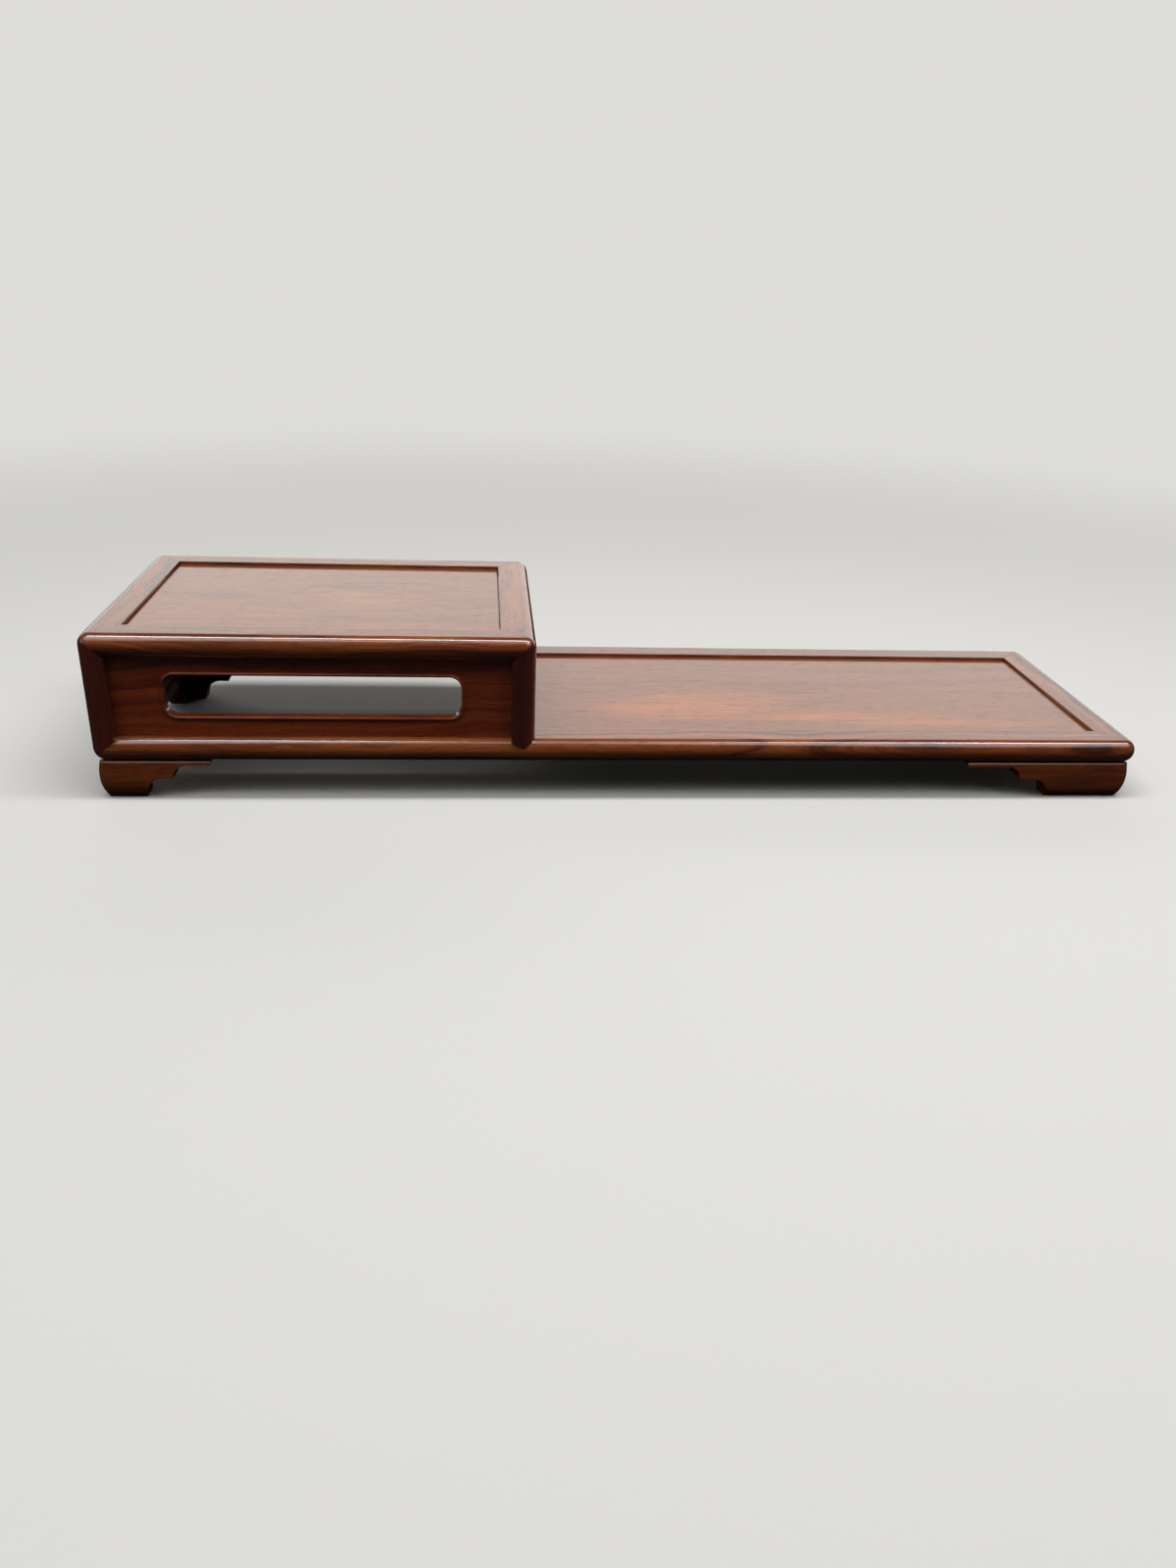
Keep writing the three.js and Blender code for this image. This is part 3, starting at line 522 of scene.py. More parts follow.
print("lower front rail faces:", len(pieces["lower_front_rail"].data.polygons))

# %% Cross rail
cross = block(
    "cross_rail_wood",
    (UPPER_LENGTH - STOCK, FRAME_WIDTH, FEET),
    (UPPER_LENGTH, DEPTH - FRAME_WIDTH, LOW_TOP),
)
round_edges(
    cross,
    lambda ps: all(near(p.x, UPPER_LENGTH) and near(p.z, LOW_TOP) for p in ps),
    ARRIS,
    ARRIS_STEPS,
)
sink_groove(cross, 0, UPPER_LENGTH, -1, LOW_TOP)
wall_groove(cross, "right")
pieces["cross_rail"] = cross
print("cross rail faces:", len(cross.data.polygons))

# %% [markdown]
# ## Panels
#
# A panel floats in its frame, so that it can swell and shrink with the weather: a tongue on each side
# slips into the grooves, and a thin dark gap shows all round. The tongues are made by cutting each side
# face into strips and pulling the middle one out. A slot underneath takes each batten.

# %% Panels
PLAY = 0.3
PANEL_TONGUE_LENGTH = 4.3
PANEL_EDGE = 0.5
SLOT_HALF_WIDTH = 6.1
SLOT_DEPTH = 1.5


def panel(name, x0, x1, top, batten_places):
    low = (x0 + PLAY, FRAME_WIDTH + PLAY)
    high = (x1 - PLAY, DEPTH - FRAME_WIDTH - PLAY)
    surface = top - PANEL_SINK
    bottom = surface - PANEL_THICKNESS
    board = block(name, (*low, bottom), (*high, surface))
    tongue_low = bottom + PANEL_TONGUE_RISE
    span = (tongue_low, tongue_low + PANEL_TONGUE)
    score(board, span[0])
    score(board, span[1])
    for side in (0, 1):
        pull(board, side, low[side], 2, span, -PANEL_TONGUE_LENGTH)
        pull(board, side, high[side], 2, span, PANEL_TONGUE_LENGTH)
    round_edges(board, level_at(surface), PANEL_EDGE, steps=3)
    for x in batten_places:
        slot = block(
            "slot",
            (x - SLOT_HALF_WIDTH, 0, bottom - OVERRUN / 2),
            (x + SLOT_HALF_WIDTH, DEPTH, bottom + SLOT_DEPTH),
        )
        carve(board, slot)
    return board


panel_span = LENGTH - FRAME_WIDTH - UPPER_LENGTH
pieces["upper_panel"] = panel(
    "upper_panel_wood", FRAME_WIDTH, UPPER_LENGTH - FRAME_WIDTH, HIGH_TOP, [UPPER_LENGTH / 2]
)
pieces["lower_panel"] = panel(
    "lower_panel_wood",
    UPPER_LENGTH,
    LENGTH - FRAME_WIDTH,
    LOW_TOP,
    [UPPER_LENGTH + panel_span / 4, UPPER_LENGTH + panel_span * 3 / 4],
)
print("panel faces:", len(pieces["upper_panel"].data.polygons))

# %% [markdown]
# ## Wall boards
#
# Four thin boards close the raised tier. Each has a tongue on all its edges, made like the panels'
# tongues, which slips into the grooves of the rails and posts.
#
# The long boards have an oblong opening with a raised bead round it, left standing when the maker cut
# the ground back. The bead starts as a rounded plate joined to the board. The opening is then cut
# through both, and the bead's two edges are rounded until it is a soft roll.

# %% Boards
OPENING = (30.8, 151.2, LOW_TOP + 8.9, LOW_TOP + 26.7)
OPENING_RADIUS = 5
BEAD = 1.3
BEAD_RISE = 0.9
BEAD_ROOT = 1
BEAD_ROUND = 0.62


def oblong(name, grow, y0, y1):
    x0, x1, z0, z1 = OPENING
    plate = block(name, (x0 - grow, y0, z0 - grow), (x1 + grow, y1, z1 + grow))

    def along_y(points):
        a, b = points
        return near(a.x, b.x) and near(a.z, b.z)

    round_edges(plate, along_y, OPENING_RADIUS + grow, steps=14)
    return plate


def wall_board(name, thick, outer, inner, along, start, end):
    """A board with a tongue on its four edges. thick and along are axes: 0 for x, 1 for y."""
    low = [0, 0, LOW_TOP]
    high = [0, 0, HIGH_BOTTOM]
    low[thick], high[thick] = min(outer, inner), max(outer, inner)
    low[along], high[along] = start, end
    board = block(name, low, high)
    inward = 1 if inner > outer else -1
    faces = sorted(outer + inward * (edge - WALL_OUT) for edge in (TONGUE_OUT, TONGUE_IN))
    for face in faces:
        score(board, face, thick)
    for side in (along, 2):
        pull(board, side, low[side], thick, faces, -TONGUE_LENGTH)
        pull(board, side, high[side], thick, faces, TONGUE_LENGTH)
    return board


front_board = wall_board(
    "front_board_wood", 1, WALL_OUT, WALL_IN, 0, STOCK, UPPER_LENGTH - STOCK
)
bead_face = WALL_OUT - BEAD_RISE
carve(front_board, oblong("bead", BEAD, bead_face, WALL_OUT + BEAD_ROOT), "UNION")
carve(front_board, oblong("opening", 0, 0, 2 * STOCK))
round_edges(
    front_board, lambda ps: all(near(p.y, bead_face) for p in ps), BEAD_ROUND, steps=4
)
pieces["front_board"] = front_board
pieces["back_board"] = mirrored(front_board, "back_board_wood")
print("front board faces:", len(front_board.data.polygons))

# %% End boards
left_board = wall_board("left_board_wood", 0, WALL_OUT, WALL_IN, 1, STOCK, DEPTH - STOCK)
right_board = wall_board(
    "right_board_wood",
    0,
    UPPER_LENGTH - WALL_OUT,
    UPPER_LENGTH - WALL_IN,
    1,
    STOCK,
    DEPTH - STOCK,
)
pieces["left_board"] = left_board
pieces["right_board"] = right_board
print("end board faces:", len(left_board.data.polygons), len(right_board.data.polygons))

# %% [markdown]
# ## Bracket feet
#
# Each foot is two arms mitred at the corner. Their outer faces bulge: they lean out from the sole, are
# fullest near half height, and roll in again under the frame. A block is rounded at its corners and
# scored with level lines. Each line is then drawn in at its four corners, towards the middle of their
# curves, and so the block takes on the bulge. Below the bulge the face follows a quadratic curve, drawn
# towards a point `BELLY_HEIGHT` above the sole.
#
# The stepped outline is then cut as a maker would cut it, with a drilled cove, a straight step, a
# smaller cove, and a thin tongue that dies away under the rail.

# %% The bulging block
FOOT_DEPTH = 11.5
SOLE_INSET = 4
BULGE_INSET = 0.8
BULGE_HEIGHT = 9.5
BELLY_HEIGHT = 3.8
SHOULDER_INSET = 1.5
SHOULDER_RADIUS = 1.8
SHOULDER_HEIGHT = FEET - SHOULDER_RADIUS


def foot_face():
    """Rows of (how far the face stands in from the frame's edge, height), from the sole upwards."""
    rows = []
    for i in range(8):
        t = i / 8
        inset = BULGE_INSET + (1 - t) ** 2 * (SOLE_INSET - BULGE_INSET)
        rows.append((inset, 2 * t * (1 - t) * BELLY_HEIGHT + t * t * BULGE_HEIGHT))
    for i in range(6):
        t = i / 6
        inset = BULGE_INSET + t * t * (SHOULDER_INSET - BULGE_INSET)
        rows.append((inset, BULGE_HEIGHT + t * (SHOULDER_HEIGHT - BULGE_HEIGHT)))
    for i in range(7):
        angle = math.pi / 2 * i / 6
        inset = SHOULDER_INSET + SHOULDER_RADIUS * (1 - math.cos(angle))
        rows.append((inset, SHOULDER_HEIGHT + SHOULDER_RADIUS * math.sin(angle)))
    return rows


foot_stock = block("foot_stock", (0, 0, 0), (LENGTH, DEPTH, FEET))
round_edges(foot_stock, upright, CORNER, CORNER_STEPS)
for inset, height in foot_face()[1:-1]:
    score(foot_stock, height)
for inset, height in foot_face():
    shrink = (1 - inset / CORNER, 1 - inset / CORNER, 1)
    for x in (CORNER, LENGTH - CORNER):
        for y in (CORNER, DEPTH - CORNER):

            def corner_line(points):
                p = points[0]
                return near(p.z, height) and max(abs(p.x - x), abs(p.y - y)) < CORNER + CLOSE

            with selected(foot_stock, "VERT", corner_line):
                bpy.ops.transform.resize(value=shrink, center_override=at(x, y, height))
print("foot stock:", len(foot_stock.data.polygons), "faces")

# %% [markdown]
# An arm is left a little long, by `SPARE`, while its outline is cut. The last saw cut takes that off.

# %% Cutters for the stepped outline
COVE = 7.5
STEP = 9.4
STEP_SHARE = 0.22
FOOT_TONGUE = 2
FOOT_TONGUE_ROUND = 1.9
SPARE = 3
OVERLAP = 1


def drill(name, x, z, rx, rz, y0, y1):
    bpy.ops.object.select_all(action="DESELECT")
    middle = (at(x, y0, z) + at(x, y1, z)) / 2
    bpy.ops.mesh.primitive_cylinder_add(
        vertices=64,
        radius=1,
        depth=1,
        location=middle,
        rotation=(math.pi / 2, 0, 0),
        scale=(rx * MM, rz * MM, (y1 - y0) * MM),
    )
    bpy.ops.object.transform_apply(location=True, rotation=True, scale=True)
    tool = bpy.context.object
    tool.name = name
    return tool


def cut_outline(arm, toe, reach):
    """Cuts the stepped outline of a left-hand arm that runs along x."""
    cove_end = toe + COVE
    step_end = cove_end + (reach - cove_end) * STEP_SHARE
    tongue_z = FEET - FOOT_TONGUE
    small = tongue_z - STEP
    small_middle = step_end + small
    y0, y1 = -OVERRUN, FOOT_DEPTH + OVERRUN
    end = reach + 2 * SPARE
    carve(arm, drill("cove", cove_end, 0, COVE, STEP, y0, y1))
    carve(arm, block("step", (cove_end, y0, -SPARE), (end, y1, STEP)))
    carve(arm, drill("small_cove", small_middle, STEP, small, small, y0, y1))
    carve(arm, block("under", (small_middle, y0, STEP - OVERLAP), (end, y1, tongue_z)))
    saw(arm, (reach, 0, 0), (1, 0, 0))

    def tongue_tip(points):
        return all(near(p.x, reach) and near(p.z, tongue_z) for p in points)

    round_edges(arm, tongue_tip, FOOT_TONGUE_ROUND, steps=5)


print("outline: cove", COVE, "step", STEP, "tongue", FOOT_TONGUE)

# %% The long arms
LEFT_ARM = (19.5, 47)
RIGHT_ARM = (37.5, 76.5)
SIDE_ARM = (19.5, 44)


def foot_arm(name, toe, reach):
    """An arm that runs along x from the front left corner. Toe and reach start at that corner."""
    arm = copy_of(foot_stock, name)
    saw(arm, (reach + SPARE, 0, 0), (1, 0, 0))
    saw(arm, (0, FOOT_DEPTH, 0), (0, 1, 0))
    cut_outline(arm, toe, reach)
    saw(arm, (HAIRLINE, 0, 0), (-1, 1, 0))
    return arm


long_left = foot_arm("front_left_long_arm", *LEFT_ARM)
unturned_arm = foot_arm("unturned_arm", *RIGHT_ARM)
long_right = mirrored(unturned_arm, "front_right_long_arm_wood", "X")
bpy.data.objects.remove(unturned_arm)
pieces["front_left_foot_long_arm"] = long_left
pieces["front_right_foot_long_arm"] = long_right
pieces["back_left_foot_long_arm"] = mirrored(long_left, "back_left_long_arm")
pieces["back_right_foot_long_arm"] = mirrored(long_right, "back_right_long_arm")
print("long arm faces:", len(long_left.data.polygons))

# %% [markdown]
# A side arm has the same outline, seen from the end of the stand. It is cut as a long arm, and then
# swung round on the corner's mitre: x and y change places.

# %% The side arms
swung_arm = foot_arm("swung_arm", *SIDE_ARM)
with selected(swung_arm, "VERT", everything):
    bpy.ops.transform.rotate(value=math.pi / 2, orient_axis="Z", center_override=at(0, 0, 0))
side_arm = mirrored(swung_arm, "front_left_side_arm", "Y", (0, 0, 0))
bpy.data.objects.remove(swung_arm)
pieces["front_left_foot_side_arm"] = side_arm
pieces["back_left_foot_side_arm"] = mirrored(side_arm, "back_left_side_arm")
pieces["front_right_foot_side_arm"] = mirrored(side_arm, "front_right_side_arm", "X")
pieces["back_right_foot_side_arm"] = mirrored(
    pieces["front_right_foot_side_arm"], "back_right_side_arm"
)
bpy.data.objects.remove(foot_stock)
print("pieces so far:", len(pieces))

# %% [markdown]
# ## Fitting the pieces
#
# No real edge is perfectly sharp, so every piece gets a tiny bevel on its sharp edges. That thin line
# catches the light at each joint. Smooth shading would then make the broad flat faces look swollen near
# their edges. A Weighted Normal modifier lets the largest faces decide, and they stay flat.
#
# Each piece then takes the place of its plainer one in the model. Nothing on the stand moves,
# so all pieces ride on one body.

# %% Soft edges and fitting
SOFTENED = 0.12
SHARP_FROM = math.radians(50)
SMOOTH_BELOW = math.radians(40)
for node, piece in pieces.items():
    only(piece)
    bpy.ops.object.modifier_add(type="BEVEL")
    soften = piece.modifiers[-1]
    soften.limit_method = "ANGLE"
    soften.angle_limit = SHARP_FROM
    soften.width = SOFTENED * MM
    soften.segments = 2
    bpy.ops.object.modifier_apply(modifier=soften.name)
    bpy.ops.object.shade_smooth_by_angle(angle=SMOOTH_BELOW)
    bpy.ops.object.modifier_add(type="WEIGHTED_NORMAL")
    flatten = piece.modifiers[-1]
    flatten.keep_sharp = True
    bpy.ops.object.modifier_apply(modifier=flatten.name)
    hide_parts(node)
    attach(piece, "root")
print(len(pieces), "pieces fitted")

# %% [markdown]
# ## How a finish is written
#
# A finish is a small network of nodes. Drawing it node by node makes long scripts, so two helpers are
# used. `Wire` holds one socket and turns Python sums into Math nodes: `1 - mask` just works.
# `Network.node` adds any other kind of node, from its type, its settings and the values or wires of its
# sockets. A `Finish` is the network of one material, and the sky behind the stand has a network too.

# %% Wires and nodes


class Wire:
    def __init__(self, network, socket):
        self.network = network
        self.socket = socket

    def maths(self, operation, *values):
        return self.network.node("ShaderNodeMath", {"operation": operation}, dict(enumerate(values)))

    def __add__(self, other):
        return self.maths("ADD", self, other)

    def __sub__(self, other):
        return self.maths("SUBTRACT", self, other)

    def __mul__(self, other):
        return self.maths("MULTIPLY", self, other)

    def __truediv__(self, other):
        return self.maths("DIVIDE", self, other)

    def __pow__(self, other):
        return self.maths("POWER", self, other)

    def __rsub__(self, other):
        return self.maths("SUBTRACT", other, self)

    __radd__ = __add__
    __rmul__ = __mul__


class Network:
    def __init__(self, tree):
        self.tree = tree

    def plug(self, socket, value):
        if isinstance(value, Wire):
            self.tree.links.new(value.socket, socket)
        else:
            socket.default_value = value

    def node(self, kind, settings, inputs, output=0):
        node = self.tree.nodes.new(kind)
        for name, value in settings.items():
            setattr(node, name, value)
        for key, value in inputs.items():
            self.plug(node.inputs[key], value)
        return Wire(self, node.outputs[output])


class Finish(Network):
    def __init__(self, name):
        self.material = bpy.data.materials.new(name)
        self.material.use_nodes = True
        super().__init__(self.material.node_tree)
        self.shader = self.tree.nodes["Principled BSDF"]

    def shade(self, **sockets):
        for name, value in sockets.items():
            self.plug(self.shader.inputs[name.replace("_", " ")], value)


print("wires, networks and finishes ready")

# %% [markdown]
# ## Reading the wood
#
# Wood is a stack of growth rings round the middle of the trunk. A plank only shows where it cuts
# through them. So the pattern is not painted on each face. The finish works out how far each point lies
# from an imagined trunk centre, and colours the rings by that distance. Straight stripes on the sides,
# and arches and flames on the flat faces, then come by themselves, and they run on from one face to the
# next.
#
# Colours are written as a painter reads them, in steps from 0 to 255.

# %% Colour, noise and masks


def colour(red, green, blue):
    def linear(step):
        value = step / 255
        return value / 12.92 if value <= 0.04045 else ((value + 0.055) / 1.055) ** 2.4

    return (linear(red), linear(green), linear(blue), 1)


def mix(network, base, other, amount):
    """The base colour at amount 0, and the other colour at 1."""
    return network.node(
        "ShaderNodeMix", {"data_type": "RGBA"}, {0: amount, 6: base, 7: other}, output=2
    )


def between(finish, value, low, high):
    """0 below the low value, 1 above the high one, and a soft ramp in the middle."""
    return finish.node(
        "ShaderNodeMapRange",
        {"interpolation_type": "SMOOTHSTEP"},
        {"Value": value, "From Min": low, "From Max": high},
    )


def noise(finish, a, b, c, detail=2, roughness=0.5):
    """Soft random blots, about 1 unit of a, b and c across, with finer ones in them for more detail."""
    spot = finish.node("ShaderNodeCombineXYZ", {}, {0: a, 1: b, 2: c})
    return finish.node(
        "ShaderNodeTexNoise",
        {},
        {"Vector": spot, "Scale": 1, "Detail": detail, "Roughness": roughness},
    )


def in_millimetres(finish):
    """The point's place, in millimetres from the stand's front left corner."""
    place = finish.node("ShaderNodeTexCoord", {}, {}, output=3)
    scaled = finish.node(
        "ShaderNodeMapping",
        {},
        {"Vector": place, "Location": (LENGTH / 2, DEPTH / 2, 0), "Scale": (1 / MM,) * 3},
    )
    return [finish.node("ShaderNodeSeparateXYZ", {}, {0: scaled}, output=i) for i in range(3)]


print("a mid brown is written", [round(c, 3) for c in colour(120, 74, 50)])

# %% [markdown]
# The noises below are all stretched along the fibres. Each factor says how many blots there are to the
# millimetre that way: broad bands and fine lines across the rings, and still finer fibres and pores.
#
# The varnish is a clear coat. It is a little thinner over the pores, and the fibres show through it as
# a very low relief.

# %% The wood itself
AXES = {"x": (0, 1, 2), "y": (1, 0, 2), "z": (2, 0, 1)}
PORE = colour(22, 8, 5)
RING_WANDER = 22
RELIEF = 0.0001
VARNISH_IOR = 1.8
VARNISH_ROUGHNESS = 0.1


def wood(name, grain, pith, tones, strength, figure=None):
    """
    grain: the axis the fibres follow. pith: where the trunk's centre lies across the grain, in mm.
    tones: the dark, middle and light colours, and strength is how boldly they stand apart.
    figure: an extra pattern laid over the rings.
    """
    finish = Finish(name)
    places = in_millimetres(finish)
    along, across, deep = (places[i] for i in AXES[grain])
    dark, middle, light = tones

    drift = noise(finish, along * 0.011, across * 0.02, deep * 0.02, 3)
    side = across - pith[0]
    depth = deep - pith[1]
    ring = (side * side + depth * depth) ** 0.5 + drift * RING_WANDER
    bands = noise(finish, ring * 0.26, along * 0.004, pith[0] * 0.37, 4, 0.6)
    lines = noise(finish, ring * 1.5, along * 0.012, pith[1] * 0.23, 3, 0.6)
    fibre = noise(finish, along * 0.06, across * 2.1, deep * 2.1, 3, 0.6)
    speck = noise(finish, along * 0.2, across * 3.6, deep * 3.6, 1)
    pores = between(finish, speck, 0.6, 0.7)

    tone = mix(finish, middle, light, between(finish, bands, 0.48, 0.66) * strength)
    tone = mix(finish, tone, dark, between(finish, 1 - bands, 0.5, 0.64) * strength)
    tone = mix(finish, tone, dark, between(finish, lines, 0.5, 0.68) * 0.6 * strength)
    if figure:
        tone = figure(finish, tone, places, drift)
    tone = mix(finish, tone, dark, between(finish, fibre, 0.44, 0.7) * 0.35)
    tone = mix(finish, tone, PORE, pores * 0.5)

    grain_height = fibre * 0.35 - pores
    normal = finish.node(
        "ShaderNodeBump", {}, {"Strength": 0.2, "Distance": RELIEF, "Height": grain_height}
    )
    finish.shade(
        Base_Color=tone,
        Roughness=0.42 + fibre * 0.14 + pores * 0.2,
        Specular_IOR_Level=0.15,
        Coat_Weight=1 - pores * 0.4,
        Coat_IOR=VARNISH_IOR,
        Coat_Roughness=VARNISH_ROUGHNESS,
        Normal=normal,
    )
    return finish.material


print("the wood finish can follow", sorted(AXES))

# %% [markdown]
# ## The panels' own figure
#
# Each panel is one wide board, picked for its figure. The high one has ochre patches with a dark swirl
# round them. The low one has a long orange flame in its left half, which thins out to the right. These
# are laid over the rings as soft patches: stretched circles whose edges are torn by noise, with fine
# streaks in them.
#
# Each patch is listed by its middle, its half length and half width, and its strength.

# %% Patches
OCHRE = colour(168, 108, 46)
SMOKE = colour(92, 58, 40)
ORANGE = colour(190, 98, 28)
OCHRE_PATCHES = (
    ((109, 60), (26, 17), 0.75),
    ((73, 40), (20, 12), 0.5),
    ((124, 27), (30, 9), 0.6),
)
SMOKE_PATCHES = (
    ((45, 63), (26, 9), 0.85),
    ((130, 31), (36, 3.5), 0.85),
    ((100, 81), (18, 4), 0.85),
)
FLAME_PATCHES = (
    ((250, 42), (54, 17), 0.95),
    ((278, 54), (44, 14), 0.65),
    ((326, 33), (84, 9), 0.9),
    ((384, 27), (60, 5), 0.55),
)
SWIRL_MIDDLE = (113, 60)
SWIRL_PATCH = ((108, 66), (48, 42), 0.8)


def patch(finish, places, drift, shape, tear):
    """The patch's strength in its middle and 0 outside it. A larger tear gives a more ragged edge."""
    middle, size, strength = shape
    x = (places[0] - middle[0]) / size[0]
    y = (places[1] - middle[1]) / size[1]
    wisps = noise(finish, places[0] * 0.014, places[1] * 0.2, 0.5, 5, 0.66)
    far = (x * x + y * y) ** 0.5 + (wisps - 0.5) * tear * 2.4 + (drift - 0.5) * tear
    streaks = noise(finish, places[0] * 0.02, places[1] * 0.8, 0.3, 4, 0.6)
    inside = 1 - between(finish, far, 0.35, 1.05)
    return inside * between(finish, streaks, 0.3, 0.6) * strength


def high_figure(finish, tone, places, drift):
    x = (places[0] - SWIRL_MIDDLE[0]) * 0.8
    y = (places[1] - SWIRL_MIDDLE[1]) * 1.3
    swirl = (x * x + y * y) ** 0.5 + drift * 16
    arcs = between(finish, noise(finish, swirl * 0.21, 0.3, 0.7, 3, 0.6), 0.5, 0.62)
    tone = mix(finish, tone, SMOKE, arcs * patch(finish, places, drift, SWIRL_PATCH, 0.3))
    for shape in OCHRE_PATCHES:
        tone = mix(finish, tone, OCHRE, patch(finish, places, drift, shape, 0.5))
    for shape in SMOKE_PATCHES:
        tone = mix(finish, tone, SMOKE, patch(finish, places, drift, shape, 0.35))
    return tone


def low_figure(finish, tone, places, drift):
    for shape in FLAME_PATCHES:
        tone = mix(finish, tone, ORANGE, patch(finish, places, drift, shape, 0.8))
    return tone


print("ochre patches:", len(OCHRE_PATCHES), "smoke:", len(SMOKE_PATCHES), "flame:", len(FLAME_PATCHES))

# %% [markdown]
# ## One finish for each cut of wood
#
# The rails, boards and posts come from the same red-brown hardwood. Cut in different places, it shows
# different tones: the wall boards are warm, with fine level stripes, and the posts are nearly purple.
# The trunk centre is moved from piece to piece, so that neighbours show different stripes.

# %% Woods
RED = ((colour(58, 23, 10), colour(136, 66, 31), colour(170, 94, 42)), 0.75)
WARM = ((colour(88, 30, 10), colour(164, 67, 25), colour(186, 92, 34)), 0.55)
PURPLE = ((colour(50, 17, 10), colour(92, 34, 20), colour(116, 48, 28)), 0.4)
BROWN = ((colour(70, 28, 10), colour(148, 70, 26), colour(174, 94, 38)), 0.5)
PLANK = ((colour(98, 51, 31), colour(142, 78, 42), colour(152, 93, 53)), 0.35)
PALE = ((colour(140, 104, 66), colour(176, 138, 92), colour(196, 160, 112)), 0.5)

cuts = {
    "upper_front_rail": ("x", (-30, 10), RED),
    "upper_back_rail": ("x", (190, 20), RED),
    "upper_left_rail": ("y", (60, 20), RED),
    "upper_right_rail": ("y", (130, -10), RED),
    "lower_front_rail": ("x", (-24, 44), RED),
    "lower_back_rail": ("x", (170, -20), RED),
    "lower_left_rail": ("y", (50, -14), RED),
    "lower_right_rail": ("y", (395, 0), RED),
    "cross_rail": ("y", (120, 0), RED),
    "upper_panel": ("x", (64, 20), PLANK),
    "lower_panel": ("x", (30, -40), PLANK),
    "upper_batten": ("y", (60, 30), BROWN),
    "lower_batten_1": ("y", (230, -10), BROWN),
    "lower_batten_2": ("y", (360, -10), BROWN),
    "front_board": ("x", (-22, 132), WARM),
    "back_board": ("x", (160, -80), WARM),
    "left_board": ("y", (-26, 140), WARM),
    "right_board": ("y", (214, -60), WARM),
}
figures = {"upper_panel": high_figure, "lower_panel": low_figure}
for end, y in (("front", 0), ("back", DEPTH)):
    for side, x in (("left", 0), ("right", LENGTH)):
        post_x = min(x, UPPER_LENGTH)
        cuts[f"{end}_{side}_post"] = ("z", (post_x - 26, y + 31), PURPLE)
        cuts[f"{end}_{side}_foot_long_arm"] = ("x", (y + 22, -14), BROWN)
        cuts[f"{end}_{side}_foot_side_arm"] = ("y", (x + 24, -16), BROWN)
for node in frame["nodes"]:
    if "dowel" in node:
        cuts[node] = ("z", (7, 9), PALE)

woods = {}
for node, obj in {**frame["nodes"], **pieces}.items():
    cut = cuts[node]
    if cut not in woods:
        grain, pith, (tones, strength) = cut
        woods[cut] = wood(f"{node}_wood", grain, pith, tones, strength, figures.get(node))
    obj.data.materials.clear()
    obj.data.materials.append(woods[cut])
    node in pieces
print(len(woods), "woods on", len(frame["nodes"]), "pieces")

# %% [markdown]
# ## Stage
#
# The stand is shown on a plain pale floor that runs up into a pale background. Near the stand the floor
# is an ordinary matt surface, so it takes a shadow. Further out it fades, for the camera only, to the
# background's own colour, and the horizon disappears.
#
# In the photograph the stand is on dark cloth, which keeps its underside and its feet dark. So only the
# camera sees the floor and the background pale. All other rays find a nearly black floor and a dim
# room.

# %% Floor and background
PAPER = colour(222, 221, 218)
CLOTH = colour(30, 30, 32)
DIM = (0.025, 0.025, 0.025, 1)
FLOOR_SIZE = 12
FADE_FROM = 0.3
FADE_TO = 1.1

bpy.ops.object.select_all(action="DESELECT")
bpy.ops.mesh.primitive_plane_add(size=FLOOR_SIZE, location=(0, 0, 0))
floor = bpy.context.object
floor.name = "floor"

paper = Finish("floor_paper")
camera_ray = paper.node("ShaderNodeLightPath", {}, {}, output=0)
ground = paper.node("ShaderNodeTexCoord", {}, {}, output=3)
distance = paper.node("ShaderNodeVectorMath", {"operation": "LENGTH"}, {0: ground}, output=1)
faded = between(paper, distance, FADE_FROM, FADE_TO) * camera_ray
paper.shade(
    Base_Color=mix(paper, CLOTH, PAPER, camera_ray),
    Roughness=0.9,
    Specular_IOR_Level=0.1,
)
glow = paper.node("ShaderNodeEmission", {}, {"Color": PAPER, "Strength": 1})
matt = Wire(paper, paper.shader.outputs[0])
surface = paper.node("ShaderNodeMixShader", {}, {0: faded, 1: matt, 2: glow})
paper.tree.links.new(surface.socket, paper.tree.nodes["Material Output"].inputs["Surface"])
floor.data.materials.append(paper.material)
print("the floor fades out between", FADE_FROM, "and", FADE_TO, "m")

# %% Sky
scene = bpy.context.scene
scene.view_settings.view_transform = "Standard"
world = bpy.data.worlds.new("studio")
scene.world = world
world.use_nodes = True
sky = Network(world.node_tree)
seen = sky.node("ShaderNodeLightPath", {}, {}, output=0)
sky.plug(sky.tree.nodes["Background"].inputs["Color"], mix(sky, DIM, PAPER, seen))
print("stage set")

# %% [markdown]
# ## Light
#
# In the photograph a bright wall stands behind the stand. Its mirror image, seen at a low angle, is
# what turns the flat tops pale, so a broad lamp stands in for the wall. A narrow lamp hangs overhead,
# and draws the thin bright line along each rounded rail. A soft one in front of it fades that line out
# downwards. Two more stand high at the sides, where the varnish doesn't mirror them towards the camera,
# and light the wood itself. The last is a faint bluish window at the left. The camera sees none of
# them.
#
# A lamp's radiance is how bright its face looks, so making it wider doesn't change the bright line's
# tone.

# %% Lamps
WARM_WHITE = (1, 0.98, 0.94)
BLUISH = (0.8, 0.9, 1)


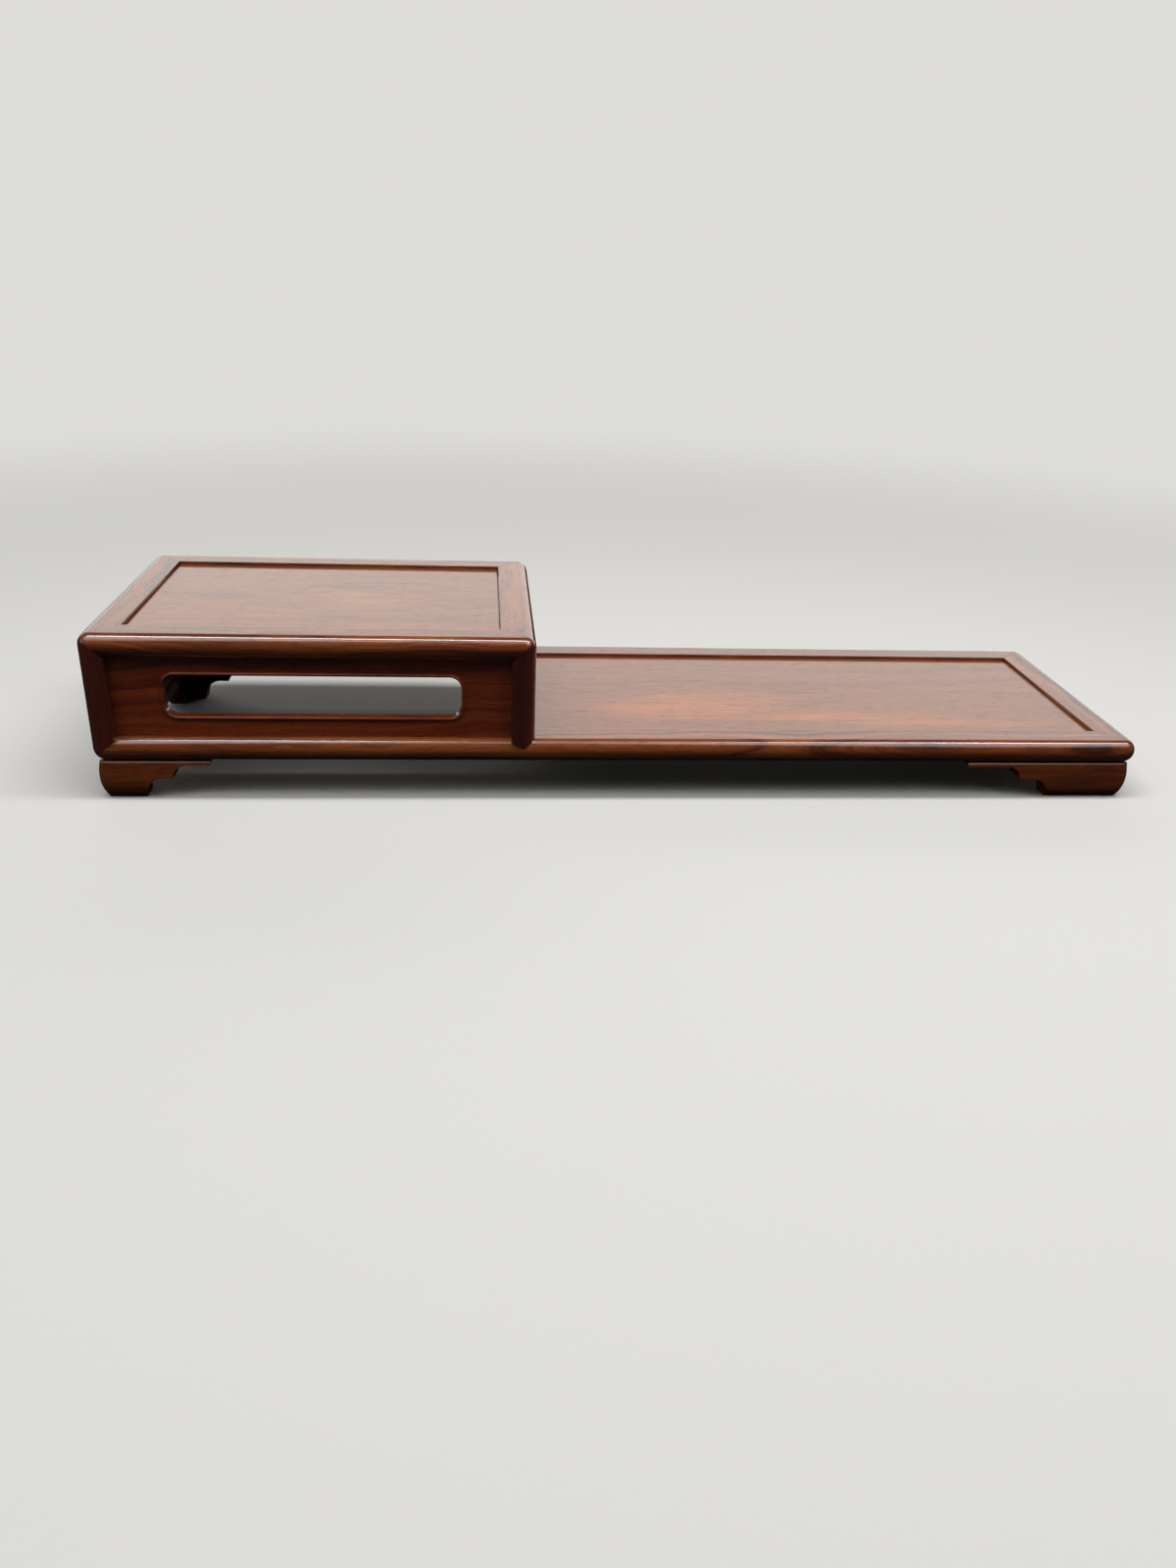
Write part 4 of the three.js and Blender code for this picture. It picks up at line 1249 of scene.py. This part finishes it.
def lamp(name, place, turn, size, radiance, tint=(1, 1, 1)):
    bpy.ops.object.light_add(type="AREA", location=place, rotation=[math.radians(a) for a in turn])
    light = bpy.context.object
    light.name = name
    light.data.shape = "RECTANGLE"
    light.data.size, light.data.size_y = size
    light.data.energy = radiance * math.pi * size[0] * size[1]
    light.data.color = tint
    light.visible_camera = False


lamp("wall_light", (0, 1.25, 0.48), (-90, 0, 0), (3.4, 0.95), 1.14, WARM_WHITE)
lamp("top_light", (0.12, -0.105, 1.0), (6, 0, 0), (1.35, 0.15), 12)
lamp("soft_front", (0, -0.5, 1.15), (22, 0, 0), (2.0, 0.28), 1.2)
for name, side in (("left_light", -1), ("right_light", 1)):
    lamp(name, (side * 0.76, -0.57, 1.34), (35, 0, side * 56), (1.0, 1.0), 1.5)
lamp("window", (-1.3, -0.25, 0.45), (90, 0, -90), (0.5, 0.6), 1, BLUISH)

# %% [markdown]
# ## Camera
#
# The camera stands where the photographer stood. Its place, tilt and lens were worked out from the
# edges of the two frames in the photograph.

# %% Camera
CAMERA_PLACE = (159.82, -448.86, 219.25)
FOCAL_PIXELS = 1181.8
PICTURE_HEIGHT = 1600
SENSOR = 36

pitch, yaw, roll = math.radians(25.14), math.radians(-5.755), math.radians(2.466)
ahead = math.cos(pitch)
forward = Vector((-math.sin(yaw) * ahead, math.cos(yaw) * ahead, -math.sin(pitch)))
level = Vector((math.cos(yaw), math.sin(yaw), 0))
above = level.cross(forward)
right = math.cos(roll) * level + math.sin(roll) * above
up = -math.sin(roll) * level + math.cos(roll) * above
camera_data = bpy.data.cameras.new("camera")
camera = bpy.data.objects.new("camera", camera_data)
scene.collection.objects.link(camera)
turned = Matrix((right, up, -forward)).transposed().to_4x4()
camera.matrix_world = Matrix.Translation(at(*CAMERA_PLACE)) @ turned
camera_data.sensor_fit = "AUTO"
camera_data.sensor_width = SENSOR
camera_data.lens = FOCAL_PIXELS / PICTURE_HEIGHT * SENSOR
camera_data.clip_start = 0.01
scene.camera = camera
print("lens", round(camera_data.lens, 1), "mm")
